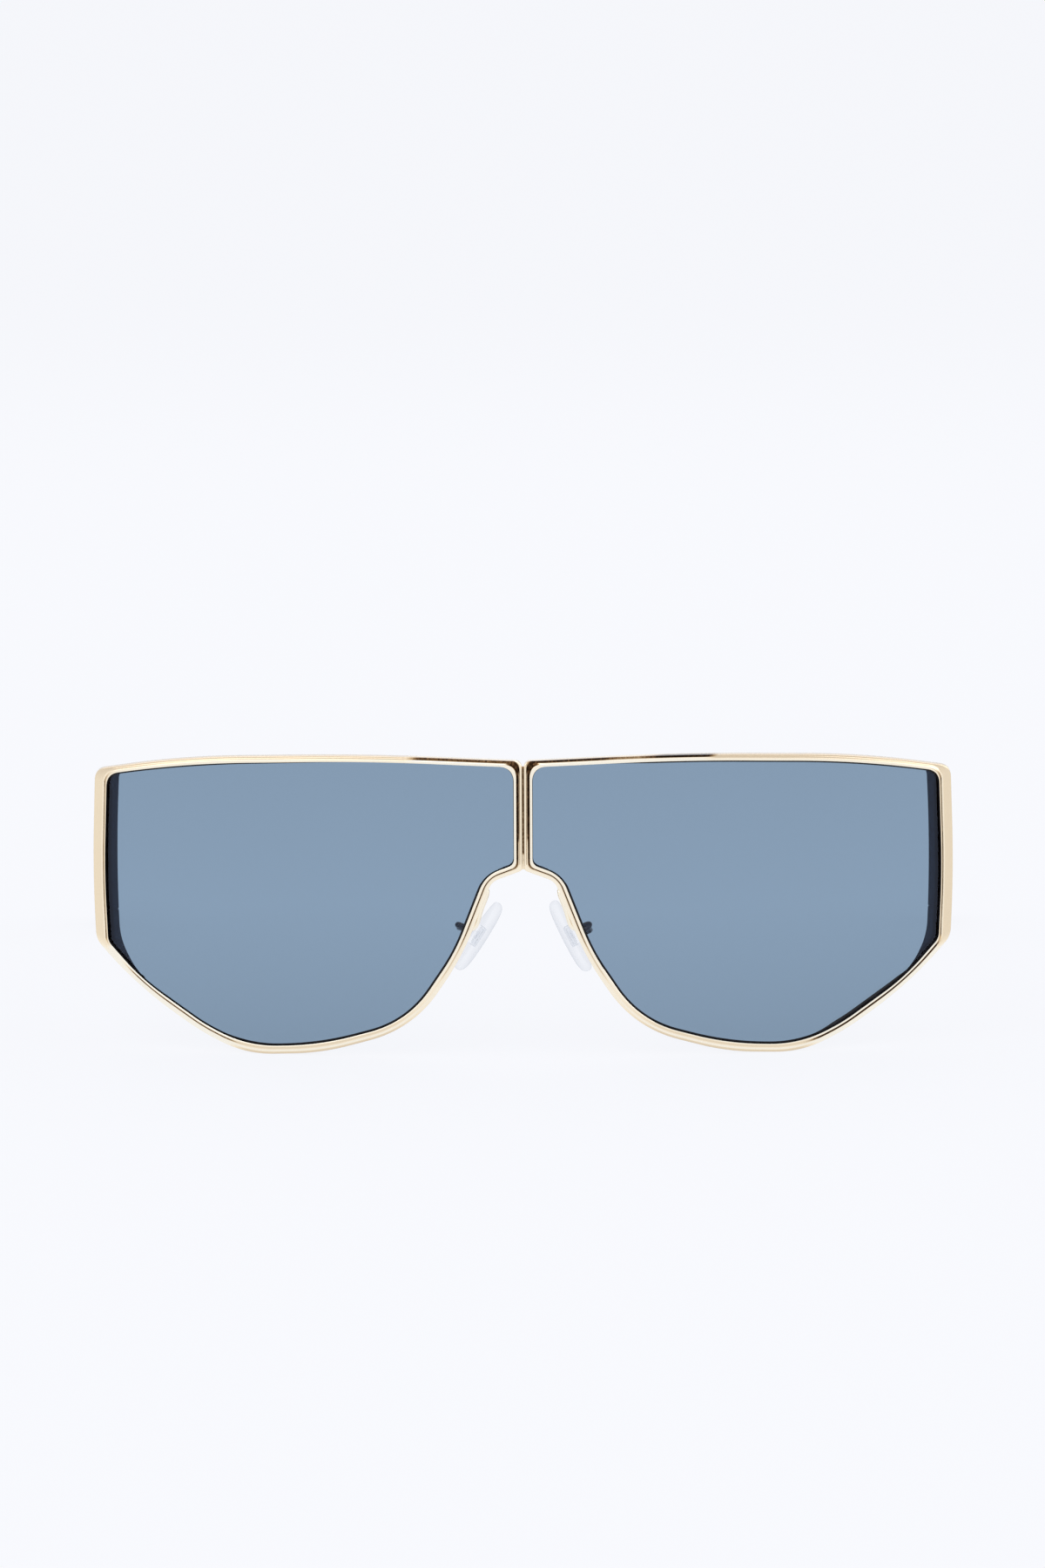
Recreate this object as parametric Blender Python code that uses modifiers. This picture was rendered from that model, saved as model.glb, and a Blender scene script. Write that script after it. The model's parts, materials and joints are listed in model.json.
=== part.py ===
"""Oversized flat-top mask sunglasses, standing open: a gold front of two stepped rims, tinted
lenses, silicone nose pads that rock on their screws, and wide black temples that fold.

Metres, +Z up, +X to the viewer's right, the front faces -Y. The origin is the middle of the
footprint. Depths in the names below are counted back from the front's foremost point.
"""

from math import cos, pi, radians, sin, sqrt, tan

import bmesh
import bpy
from mathutils import Matrix, Vector

MM = 0.001
SIDES = {"left": -1, "right": 1}

# Clearances
GAP = 0.3 * MM
SCREW_CLEARANCE = 0.25 * MM
OVERRUN = 2.0 * MM
WELD = 0.002 * MM

# Front, seen square on, and the curve that it is wrapped round
FRONT_WIDTH = 147.0 * MM
FRONT_HEIGHT = 51.5 * MM
WRAP_RADIUS = 205.0 * MM
WRAP_STEP = 8.0 * MM
ENDPIECE_STEP = 1.6 * MM
SEAM = 0.3 * MM

# Rim section: a rounded lip round the lens, a step down, and a raised rail along the outside. The
# band is narrower along the top, and wide on the outer sides, where the rail is nearly all of it
RIM_BAND = 1.45 * MM
RIM_DEPTH = 2.6 * MM
TOP_BAND = 1.05 * MM
SIDE_BAND = 2.1 * MM
LIP_WIDTH = 0.5 * MM
LIP_ROUND = 0.14 * MM
SIDE_LIP_WIDTH = 0.32 * MM
SIDE_STEP_WIDTH = 0.18 * MM
STEP_DROP = 0.42 * MM
STEP_SLOPE = 0.1 * MM
STEP_RISE = 0.06 * MM
RAIL_WIDTH = 0.42 * MM
RAIL_DROP = 0.34 * MM
RAIL_ROUND = 0.1 * MM
GROOVE_DEPTH = 0.4 * MM
GROOVE_FRONT = 0.6 * MM

# Each corner of the rim's outer edge: across as a share of half the front's width, up as a share
# of its height, the length of the rounding at the outer edge and at the lens as shares of the
# height, the number of steps round it, and the kind of edge that follows it
RIM_CORNER_SHARES = (
    (0.0, 0.985, 0.027, 0.05, 4, "top"),
    (0.3566, 1.0046, 0.268, 0.226, 4, "top"),
    (0.7791, 0.9832, 0.1925, 0.2125, 4, "top"),
    (0.9939, 0.929, 0.0352, 0.0413, 4, "side"),
    (1.002, 0.582, 0.165, 0.109, 2, "side"),
    (0.9953, 0.3577, 0.0283, 0.018, 4, "full"),
    (0.8999, 0.2107, 0.152, 0.085, 4, "full"),
    (0.7519, 0.0691, 0.0493, 0.0411, 3, "full"),
    (0.6459, -0.0041, 0.0933, 0.104, 4, "full"),
    (0.469, 0.0082, 0.0893, 0.114, 4, "full"),
    (0.2539, 0.0943, 0.1535, 0.134, 6, "full"),
    (0.1391, 0.3385, 0.1053, 0.0746, 4, "full"),
    (0.0709, 0.5863, 0.0245, 0.0511, 5, "full"),
    (0.0, 0.6236, 0.0115, 0.0211, 3, "full"),
)

# Lens
LENS_CHAMFER = 0.4 * MM
LENS_TIP = 0.1 * MM

# Brace behind the twin bars of the bridge
BRACE_WIDTH = 2.6 * MM
BRACE_THICKNESS = 1.2 * MM
BRACE_BOTTOM_SHARE = 0.619
BRACE_TOP_SHARE = 0.961
BRACE_ROUND = 0.3 * MM

# Temples: how they stand when open, and the line of the fold
SPLAY = radians(3.3)
DROP_ANGLE = radians(7.8)
HINGE_INSET = 1.1 * MM
HINGE_HEIGHT_SHARE = 0.641
JOINT_GAP = 0.3 * MM

# Endpieces: black blocks behind the rims' outer sides, each in two halves that the closing screw
# draws together round the split in the rim. Their inner faces lean outwards towards the hinge
ENDPIECE_INSET = 0.6 * MM
ENDPIECE_REACH = 10.9 * MM
ENDPIECE_WIDTH = 3.5 * MM
ENDPIECE_LEAN = 0.7 * MM
ENDPIECE_LENGTH = 7.7 * MM
ENDPIECE_HOOK_DEPTH = 1.2 * MM
ENDPIECE_TOP_SHARE = 0.9194
ENDPIECE_SPLIT_SHARE = 0.458
ENDPIECE_INNER_SHARE = 1 - ENDPIECE_WIDTH / ENDPIECE_REACH
RIM_SPLIT = 0.12 * MM
# Corners from the upper hook round the outside to the lower hook and back along the inside:
# across from the hook's end as a share of the block's reach, up as a share of its height, the
# rounding as a share of the height, and the number of steps
ENDPIECE_CORNER_SHARES = (
    (0.385, 1.0275, 0.005, 1),
    (1.0, 1.0, 0.04, 4),
    (1.0, 0.4013, 0.034, 4),
    (0.33, 0.2387, 0.07, 3),
    (0.0, 0.1869, 0.005, 1),
    (0.0275, 0.2101, 0.005, 1),
    (ENDPIECE_INNER_SHARE, 0.3442, 0.105, 5),
    (ENDPIECE_INNER_SHARE, 0.9947, 0.04, 4),
    (0.385, 1.0106, 0.005, 1),
)

# Closing screw, upright through both halves of the endpiece
CLOSING_SCREW_RADIUS = 0.5 * MM
CLOSING_HEAD_RADIUS = 0.95 * MM
CLOSING_HEAD_HEIGHT = 0.7 * MM
CLOSING_SCREW_DEPTH_SHARE = 0.5
CLOSING_SCREW_BELOW = 6.6 * MM
CLOSING_SCREW_ABOVE = 4.8 * MM

# Hinges: two knuckles on the front, one on the temple, leaves let in flush
KNUCKLE_RADIUS = 1.1 * MM
KNUCKLE_HEIGHT = 1.6 * MM
LEAF_THICKNESS = 0.8 * MM
FRONT_LEAF_LENGTH = 4.6 * MM
TEMPLE_LEAF_LENGTH = 7.4 * MM
HINGE_SCREW_RADIUS = 0.5 * MM
HINGE_HEAD_RADIUS = 1.0 * MM
HINGE_HEAD_HEIGHT = 0.6 * MM
RIVET_RADIUS = 0.55 * MM
RIVET_LENGTH = 2.3 * MM
RIVET_DOME = 0.1 * MM
RIVET_PLACE_SHARES = (0.33, 0.74)

# Temple arm: its outline runs from the hinge to the tip, and its thickness tapers
TEMPLE_REACH = 128.0 * MM
TEMPLE_THICKNESS = 3.2 * MM
TEMPLE_TAPER_SHARE = 0.24
TEMPLE_FOOT_SHARE = 0.388
TEMPLE_NARROW = 7.6 * MM
TEMPLE_EDGE_ROUND = 0.55 * MM
FOLD_RELIEF = 3.0 * MM
EAR_SHARE = 0.705
WIDE_SHARE = 0.345
EAR_OUTER_BLEND = 15.0 * MM
EAR_INNER_BLEND = 12.0 * MM
TAPER_BLEND = 15.0 * MM
TIP_BLEND = 3.4 * MM
TEMPLE_TOP_BLEND = 1.2 * MM
TEMPLE_FOOT_BLEND = 3.0 * MM
TEMPLE_FLAT_ANGLE = radians(1.0)
STEEPEST_EAR = radians(60.0)

# Nose pads, with the screw that each rocks on
PAD_LENGTH = 13.4 * MM
PAD_WIDTH = 7.4 * MM
PAD_THICKNESS = 1.9 * MM
PAD_NARROW_SHARE = 0.62
# The pad's layers from its flat back to its crown: size, and how far through its thickness
PAD_LAYER_SHARES = ((0.9, 0.0), (0.97, 0.08), (1.0, 0.34), (0.97, 0.62), (0.85, 0.86), (0.55, 1.0))
PAD_SPLAY = radians(8.0)
PAD_TILT = {"left": radians(33.5), "right": radians(27.5)}
PAD_FROM_RIM = {"left": 2.17 * MM, "right": 1.87 * MM}
PAD_HEIGHT_SHARE = 0.3767
PAD_DEPTH = 9.0 * MM
PAD_STANDOFF = 1.7 * MM

# Pad inserts: a foot let into the pad and an eye for the screw
INSERT_FOOT_LENGTH = 3.0 * MM
INSERT_FOOT_WIDTH = 2.0 * MM
INSERT_FOOT_THICKNESS = 0.5 * MM
INSERT_NECK = 1.1 * MM
EYE_RADIUS = 0.9 * MM
EYE_WIDTH = 0.9 * MM

# Pad boxes, screws and arms
CHEEK_THICKNESS = 0.45 * MM
BOX_LENGTH = 1.9 * MM
BOX_REACH = 0.7 * MM
BOX_BACK = 0.45 * MM
PAD_SCREW_RADIUS = 0.35 * MM
PAD_HEAD_RADIUS = 0.7 * MM
PAD_HEAD_HEIGHT = 0.45 * MM
ARM_RADIUS = 0.5 * MM
ARM_SHOW = 0.15 * MM
ARM_TOP_SHARE = 0.5515
ARM_LOW_SHARE = 0.425
ARM_LOOP_SHARE = 0.431
ARM_LOOP_OUT = 2.6 * MM
ARM_LOOP_BEHIND = 2.6 * MM
ARM_POINTS = 18

ROUND_SIDES = 20
FACET_ANGLE = radians(32)
TWIST_ANGLE = radians(0.1)
ANGLE_HALVINGS = 24

HALF_WIDTH = FRONT_WIDTH / 2
LENS_THICKNESS = RIM_DEPTH - 2 * GROOVE_FRONT
ENDPIECE_FRONT = RIM_DEPTH + GAP
ENDPIECE_OUTER = HALF_WIDTH - ENDPIECE_INSET
ENDPIECE_INNER = ENDPIECE_OUTER - ENDPIECE_WIDTH
ENDPIECE_HOOK = ENDPIECE_OUTER - ENDPIECE_REACH
ENDPIECE_TOP = ENDPIECE_TOP_SHARE * FRONT_HEIGHT
ENDPIECE_SPLIT = ENDPIECE_SPLIT_SHARE * FRONT_HEIGHT
ENDPIECE_REAR_INNER = ENDPIECE_INNER + ENDPIECE_LEAN
SIDE_SAG = WRAP_RADIUS - sqrt(WRAP_RADIUS**2 - ENDPIECE_OUTER**2)
HINGE_ACROSS = ENDPIECE_REAR_INNER + HINGE_INSET
HINGE_DEPTH = SIDE_SAG + ENDPIECE_FRONT + ENDPIECE_LENGTH
HINGE_HEIGHT = HINGE_HEIGHT_SHARE * FRONT_HEIGHT
CLOSING_SCREW_DEPTH = HINGE_DEPTH - CLOSING_SCREW_DEPTH_SHARE * ENDPIECE_LENGTH
CLOSING_SCREW_FOOT = ENDPIECE_SPLIT - CLOSING_SCREW_BELOW
CLOSING_SCREW_TOP = ENDPIECE_SPLIT + CLOSING_SCREW_ABOVE
KNUCKLE_STACK = 3 * KNUCKLE_HEIGHT + 2 * GAP
HINGE_SPACE = KNUCKLE_RADIUS + GAP
TEMPLE_INNER = HINGE_INSET
TEMPLE_OUTER = TEMPLE_THICKNESS - TEMPLE_INNER
TEMPLE_TOP = ENDPIECE_TOP - ENDPIECE_LENGTH * tan(DROP_ANGLE)
TEMPLE_FOOT = TEMPLE_FOOT_SHARE * TEMPLE_TOP
PAD_HEIGHT = PAD_HEIGHT_SHARE * FRONT_HEIGHT
STEP_END = RIM_BAND - RAIL_WIDTH
TOP_SQUEEZE = (TOP_BAND - LIP_WIDTH) / (RIM_BAND - LIP_WIDTH)
# Where the lip starts and ends, the step ends and the rail ends, on each kind of edge
EDGE_STATIONS = {
    "full": (0, LIP_WIDTH, STEP_END, RIM_BAND),
    "top": (0, LIP_WIDTH, LIP_WIDTH + (STEP_END - LIP_WIDTH) * TOP_SQUEEZE, TOP_BAND),
    "side": (0, SIDE_LIP_WIDTH, SIDE_LIP_WIDTH + SIDE_STEP_WIDTH, SIDE_BAND),
}


def clear_scene():
    """Leave an empty file."""
    for old in list(bpy.data.objects):
        bpy.data.objects.remove(old, do_unlink=True)


def collection(name):
    """A new collection in the scene."""
    made = bpy.data.collections.new(name)
    bpy.context.scene.collection.children.link(made)
    return made


def material(name, colour, roughness, metallic, transmission=0.0):
    """A Principled material."""
    made = bpy.data.materials.new(name)
    made.use_nodes = True
    shader = made.node_tree.nodes["Principled BSDF"]
    shader.inputs["Base Color"].default_value = (*colour, 1.0)
    shader.inputs["Roughness"].default_value = roughness
    shader.inputs["Metallic"].default_value = metallic
    shader.inputs["Transmission Weight"].default_value = transmission
    made.diffuse_color = (*colour, 1.0 - transmission / 2)
    return made


def wrap(across):
    """How far back the wrapped front lies at this distance from the middle."""
    return WRAP_RADIUS - sqrt(WRAP_RADIUS**2 - across**2)


def blended(corners):
    """Points of a closed outline. Each corner is (point, blend, steps) and becomes a smooth
    curve that leaves its two edges a blend's length from it."""
    points = []
    for place, (corner, blend, steps) in enumerate(corners):
        before = corners[place - 1][0]
        after = corners[(place + 1) % len(corners)][0]
        start = corner + (before - corner).normalized() * blend
        end = corner + (after - corner).normalized() * blend
        for step in range(steps + 1):
            t = step / steps
            points.append((1 - t) ** 2 * start + 2 * t * (1 - t) * corner + t**2 * end)
    return points


def edge_offset(kind, outward):
    """How far an edge of this kind lies outside the lens opening, for a place on the section that
    is this far out where the band is full."""
    full = EDGE_STATIONS["full"]
    own = EDGE_STATIONS[kind]
    for low, high, own_low, own_high in zip(full, full[1:], own, own[1:]):
        if outward <= high:
            break
    return own_low + (own_high - own_low) * (outward - low) / (high - low)


def moved_corner(corner, before, after, first, second):
    """A corner of a clockwise outline, its two edges moved inwards by these distances."""
    if first == second:
        inward = Vector((before.y + after.y, -before.x - after.x)).normalized()
        return corner + inward * (first / inward.dot(Vector((before.y, -before.x))))
    turn = before.x * after.y - before.y * after.x
    return corner + (second * before - first * after) / turn


def rim_contour(outward):
    """The rim's outline at this place on its section, for the right-hand side."""
    seam_side = SEAM / 2
    reach = HALF_WIDTH - seam_side
    outer = []
    insets = []
    for across, up, *_, kind in RIM_CORNER_SHARES:
        outer.append(Vector((seam_side + across * reach, up * FRONT_HEIGHT)))
        insets.append(EDGE_STATIONS[kind][-1] - edge_offset(kind, outward))
    share = outward / RIM_BAND
    corners = []
    for place, (corner, row) in enumerate(zip(outer, RIM_CORNER_SHARES)):
        before = (corner - outer[place - 1]).normalized()
        after = (outer[(place + 1) % len(outer)] - corner).normalized()
        corner = moved_corner(corner, before, after, insets[place - 1], insets[place])
        blend = FRONT_HEIGHT * (share * row[2] + (1 - share) * row[3])
        corners.append((corner, blend, row[4]))
    return blended(corners)


def loft(rings, closed):
    """A mesh whose rings of points are joined side by side. A closed loft joins the last ring to
    the first, and an open one has a cap on each end."""
    shape = bmesh.new()
    rows = [[shape.verts.new(point) for point in ring] for ring in rings]
    pairs = list(zip(rows, rows[1:]))
    if closed:
        pairs.append((rows[-1], rows[0]))
    for first, second in pairs:
        for place in range(len(first)):
            after = (place + 1) % len(first)
            shape.faces.new((first[place], first[after], second[after], second[place]))
    if not closed:
        shape.faces.new(rows[0][::-1])
        shape.faces.new(rows[-1])
    return shape


def cut_upright(shape, start, end, step):
    """Cut a shape into upright strips, so that it can be bent smoothly."""
    for strip in range(1, int((end - start) / step) + 1):
        bmesh.ops.bisect_plane(
            shape,
            geom=shape.verts[:] + shape.edges[:] + shape.faces[:],
            dist=WELD,
            plane_co=(start + strip * step, 0, 0),
            plane_no=(1, 0, 0),
        )


def wrap_round(shape):
    """Lay a flat shape round the front's curve."""
    cut_upright(shape, 0, HALF_WIDTH, WRAP_STEP)
    for vert in shape.verts:
        vert.co.y += wrap(vert.co.x)


def mesh_object(name, shape, side, group, paint, parent=None):
    """Turn a shape drawn for the right-hand side into an object, mirrored for the left."""
    if side < 0:
        bmesh.ops.scale(shape, vec=(-1, 1, 1), verts=shape.verts)
    bmesh.ops.recalc_face_normals(shape, faces=shape.faces)
    mesh = bpy.data.meshes.new(name)
    shape.to_mesh(mesh)
    shape.free()
    mesh.materials.append(paint)
    mesh.shade_smooth()
    mesh.set_sharp_from_angle(angle=FACET_ANGLE)
    made = bpy.data.objects.new(name, mesh)
    made.parent = parent
    group.objects.link(made)
    return made


def box(low, high):
    """A box between two corners."""
    shape = bmesh.new()
    low, high = Vector(low), Vector(high)
    size = high - low
    place = Matrix.Translation((low + high) / 2) @ Matrix.Diagonal((*size, 1))
    bmesh.ops.create_cube(shape, size=1, matrix=place)
    return shape


def rod(start, end, radius, sides=ROUND_SIDES):
    """A round rod between two points."""
    shape = bmesh.new()
    start, end = Vector(start), Vector(end)
    along = end - start
    turn = along.to_track_quat("Z", "Y").to_matrix().to_4x4()
    bmesh.ops.create_cone(
        shape,
        cap_ends=True,
        segments=sides,
        radius1=radius,
        radius2=radius,
        depth=along.length,
        matrix=Matrix.Translation((start + end) / 2) @ turn,
    )
    return shape


def rounded_box(low, high, radius):
    """A box with its edges rounded."""
    shape = box(low, high)
    bmesh.ops.bevel(shape, geom=shape.edges[:], offset=radius, segments=2, affect="EDGES", profile=0.5)
    return shape


def cutter(name, shape, side, parent=None):
    """A shape that only cuts or joins."""
    made = mesh_object(name, shape, side, CUTTERS, METAL, parent)
    made.hide_render = True
    made.display_type = "WIRE"
    return made


def combine(target, tool, operation):
    """Cut a tool from an object or join it on."""
    change = target.modifiers.new(tool.name, "BOOLEAN")
    change.object = tool
    change.operation = operation
    change.solver = "EXACT"


def turned(name, profile, group, paint, parent, placing):
    """A round piece from a profile of (radius, height) pairs that runs down its outer side."""
    mesh = bpy.data.meshes.new(name)
    points = [(radius, 0, height) for radius, height in profile]
    mesh.from_pydata(points, [(i, i + 1) for i in range(len(points) - 1)], [])
    made = bpy.data.objects.new(name, mesh)
    mesh.materials.append(paint)
    made.parent = parent
    made.matrix_local = placing
    group.objects.link(made)
    screw = made.modifiers.new("turn", "SCREW")
    screw.axis = "Z"
    screw.steps = screw.render_steps = ROUND_SIDES
    screw.use_merge_vertices = True
    screw.merge_threshold = WELD
    screw.use_smooth_shade = True
    return made


def make_rim(name, side, parent):
    """The stepped hoop, split behind the endpiece."""
    groove_back = RIM_DEPTH - GROOVE_FRONT
    profile = (
        (0, GROOVE_FRONT),
        (0, LIP_ROUND),
        (LIP_ROUND, 0),
        (LIP_WIDTH - LIP_ROUND, 0),
        (LIP_WIDTH, LIP_ROUND),
        (LIP_WIDTH + STEP_RISE, STEP_DROP),
        (STEP_END, STEP_DROP + STEP_SLOPE),
        (STEP_END + STEP_RISE, RAIL_DROP),
        (RIM_BAND - RAIL_ROUND, RAIL_DROP),
        (RIM_BAND, RAIL_DROP + RAIL_ROUND),
        (RIM_BAND, RIM_DEPTH),
        (0, RIM_DEPTH),
        (0, groove_back),
        (GROOVE_DEPTH, groove_back),
        (GROOVE_DEPTH, GROOVE_FRONT),
    )
    rings = []
    for outward, depth in profile:
        rings.append([(p.x, depth, p.y) for p in rim_contour(outward)])
    shape = loft(rings, closed=True)
    wrap_round(shape)
    rim = mesh_object(name, shape, side, PIECES, GOLD, parent)
    split_low = ENDPIECE_SPLIT - RIM_SPLIT / 2
    inner = HALF_WIDTH - SIDE_BAND - OVERRUN
    front = wrap(inner) - OVERRUN
    back = wrap(HALF_WIDTH) + RIM_DEPTH + OVERRUN
    split = box((inner, front, split_low), (HALF_WIDTH + OVERRUN, back, split_low + RIM_SPLIT))
    combine(rim, cutter(name + "_split", split, side, parent), "DIFFERENCE")


def make_lens(name, side, parent):
    """The lens, with a chamfered edge that sits in the rim's groove."""
    tip = LENS_TIP
    face = tip - LENS_CHAMFER
    front = GROOVE_FRONT
    back = front + LENS_THICKNESS
    section = (
        (face, front),
        (tip, front + LENS_CHAMFER),
        (tip, back - LENS_CHAMFER),
        (face, back),
    )
    rings = []
    for outward, depth in section:
        rings.append([(p.x, depth, p.y) for p in rim_contour(outward)])
    shape = loft(rings, closed=False)
    wrap_round(shape)
    mesh_object(name, shape, side, PIECES, TINT, parent)


def make_brace(parent):
    """The plate behind the bridge that ties the two rims together."""
    front = RIM_DEPTH + GAP
    shape = rounded_box(
        (-BRACE_WIDTH / 2, front, BRACE_BOTTOM_SHARE * FRONT_HEIGHT),
        (BRACE_WIDTH / 2, front + BRACE_THICKNESS, BRACE_TOP_SHARE * FRONT_HEIGHT),
        BRACE_ROUND,
    )
    mesh_object("bridge_brace", shape, 1, PIECES, GOLD, parent)


def endpiece_shape():
    """The whole black block behind the rim's outer side, before it is split."""
    corners = []
    for across, up, blend, steps in ENDPIECE_CORNER_SHARES:
        corner = Vector((ENDPIECE_HOOK + across * ENDPIECE_REACH, up * ENDPIECE_TOP))
        corners.append((corner, blend * ENDPIECE_TOP, steps))
    outline = blended(corners)
    back_face = HINGE_DEPTH - JOINT_GAP / 2
    front = [(point.x, 0, point.y) for point in outline]
    back = [(point.x, back_face, point.y) for point in outline]
    shape = loft([front, back], closed=False)
    cut_upright(shape, ENDPIECE_HOOK, ENDPIECE_INNER, ENDPIECE_STEP)
    for vert in shape.verts:
        near = wrap(vert.co.x) + ENDPIECE_FRONT
        share = min(1, max(0, vert.co.x - ENDPIECE_HOOK) / (ENDPIECE_INNER - ENDPIECE_HOOK))
        eased = share * share * (3 - 2 * share)
        hook = near + ENDPIECE_HOOK_DEPTH
        far = hook + (back_face - hook) * eased
        if vert.co.y > 0:
            lean = ENDPIECE_LEAN * eased * min(1, (ENDPIECE_OUTER - vert.co.x) / ENDPIECE_WIDTH)
            fall = (far - near) * tan(DROP_ANGLE)
            vert.co = Vector((vert.co.x + lean, far, vert.co.z - fall))
        else:
            vert.co.y = near
    bmesh.ops.connect_verts_nonplanar(shape, angle_limit=TWIST_ANGLE, faces=shape.faces)
    return shape


def make_endpiece(tag, side, parent):
    """The upper half, which carries the hinge, and the lower half, drawn up by the screw."""
    upper = mesh_object("endpiece_upper_" + tag, endpiece_shape(), side, PIECES, BLACK, parent)
    lower = mesh_object("endpiece_lower_" + tag, endpiece_shape(), side, PIECES, BLACK, parent)
    inner = ENDPIECE_HOOK - OVERRUN
    outer = ENDPIECE_OUTER + OVERRUN
    back = HINGE_DEPTH + OVERRUN
    below = box((inner, 0, -OVERRUN), (outer, back, ENDPIECE_SPLIT + GAP / 2))
    above = box((inner, 0, ENDPIECE_SPLIT - GAP / 2), (outer, back, ENDPIECE_TOP + OVERRUN))
    combine(upper, cutter("below_split_" + tag, below, side, parent), "DIFFERENCE")
    combine(lower, cutter("above_split_" + tag, above, side, parent), "DIFFERENCE")

    middle = (ENDPIECE_INNER + ENDPIECE_LEAN / 2 + ENDPIECE_OUTER) / 2
    foot = (middle, CLOSING_SCREW_DEPTH, CLOSING_SCREW_FOOT - OVERRUN)
    seat = (middle, CLOSING_SCREW_DEPTH, CLOSING_SCREW_FOOT + CLOSING_HEAD_HEIGHT + GAP)
    tip = (middle, CLOSING_SCREW_DEPTH, CLOSING_SCREW_TOP + GAP)
    hole = rod(foot, tip, CLOSING_SCREW_RADIUS + SCREW_CLEARANCE)
    sink = rod(foot, seat, CLOSING_HEAD_RADIUS + SCREW_CLEARANCE)
    hole_cutter = cutter("closing_hole_" + tag, hole, side, parent)
    combine(upper, hole_cutter, "DIFFERENCE")
    combine(lower, hole_cutter, "DIFFERENCE")
    combine(lower, cutter("closing_sink_" + tag, sink, side, parent), "DIFFERENCE")

    low = HINGE_HEIGHT - KNUCKLE_STACK / 2 - GAP
    high = HINGE_HEIGHT + KNUCKLE_STACK / 2 + GAP
    head_high = high + HINGE_HEAD_HEIGHT + GAP
    barrel = rod((HINGE_ACROSS, HINGE_DEPTH, low), (HINGE_ACROSS, HINGE_DEPTH, head_high), HINGE_SPACE)
    combine(upper, cutter("barrel_space_" + tag, barrel, side, parent), "DIFFERENCE")
    leaf = box(
        (ENDPIECE_INNER - OVERRUN, HINGE_DEPTH - HINGE_SPACE - FRONT_LEAF_LENGTH - GAP, low),
        (ENDPIECE_REAR_INNER + LEAF_THICKNESS + GAP, HINGE_DEPTH, high),
    )
    combine(upper, cutter("leaf_space_" + tag, leaf, side, parent), "DIFFERENCE")

    length = CLOSING_SCREW_TOP - CLOSING_SCREW_FOOT
    profile = (
        (0, length),
        (CLOSING_SCREW_RADIUS, length),
        (CLOSING_SCREW_RADIUS, CLOSING_HEAD_HEIGHT),
        (CLOSING_HEAD_RADIUS, CLOSING_HEAD_HEIGHT),
        (CLOSING_HEAD_RADIUS, 0),
        (0, 0),
    )
    place = Matrix.Translation((side * middle, CLOSING_SCREW_DEPTH, CLOSING_SCREW_FOOT))
    turned("closing_screw_" + tag, profile, PIECES, GOLD, parent, place)


def knuckle(across, depth, low):
    """One knuckle about the fold's axis."""
    return rod((across, depth, low), (across, depth, low + KNUCKLE_HEIGHT), KNUCKLE_RADIUS)


def make_front_leaf(tag, side, parent):
    """The hinge half on the front: a leaf let into the endpiece and two knuckles."""
    low = HINGE_HEIGHT - KNUCKLE_STACK / 2
    high = HINGE_HEIGHT + KNUCKLE_STACK / 2
    inner = ENDPIECE_REAR_INNER
    outer = inner + LEAF_THICKNESS
    leaf_end = HINGE_DEPTH - HINGE_SPACE
    leaf = box((inner, leaf_end - FRONT_LEAF_LENGTH, low), (outer, leaf_end, high))
    hinge = mesh_object("hinge_front_" + tag, leaf, side, PIECES, METAL, parent)
    for place, start in (("lower", low), ("upper", high - KNUCKLE_HEIGHT)):
        web = box((inner, leaf_end - GAP, start), (outer, HINGE_DEPTH, start + KNUCKLE_HEIGHT))
        name = place + "_front_" + tag
        combine(hinge, cutter("web_" + name, web, side, parent), "UNION")
        barrel = knuckle(HINGE_ACROSS, HINGE_DEPTH, start)
        combine(hinge, cutter("knuckle_" + name, barrel, side, parent), "UNION")
    bottom = (HINGE_ACROSS, HINGE_DEPTH, low - OVERRUN)
    top = (HINGE_ACROSS, HINGE_DEPTH, high + OVERRUN)
    bore = rod(bottom, top, HINGE_SCREW_RADIUS + SCREW_CLEARANCE)
    combine(hinge, cutter("bore_front_" + tag, bore, side, parent), "DIFFERENCE")


def make_hinge_screw(tag, side, parent):
    """The hinge screw, which is the pin."""
    low = HINGE_HEIGHT - KNUCKLE_STACK / 2
    length = KNUCKLE_STACK + GAP + HINGE_HEAD_HEIGHT
    neck = length - HINGE_HEAD_HEIGHT
    profile = (
        (0, length),
        (HINGE_HEAD_RADIUS, length),
        (HINGE_HEAD_RADIUS, neck),
        (HINGE_SCREW_RADIUS, neck),
        (HINGE_SCREW_RADIUS, 0),
        (0, 0),
    )
    place = Matrix.Translation((side * HINGE_ACROSS, HINGE_DEPTH, low))
    turned("hinge_screw_" + tag, profile, PIECES, METAL, parent, place)


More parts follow.
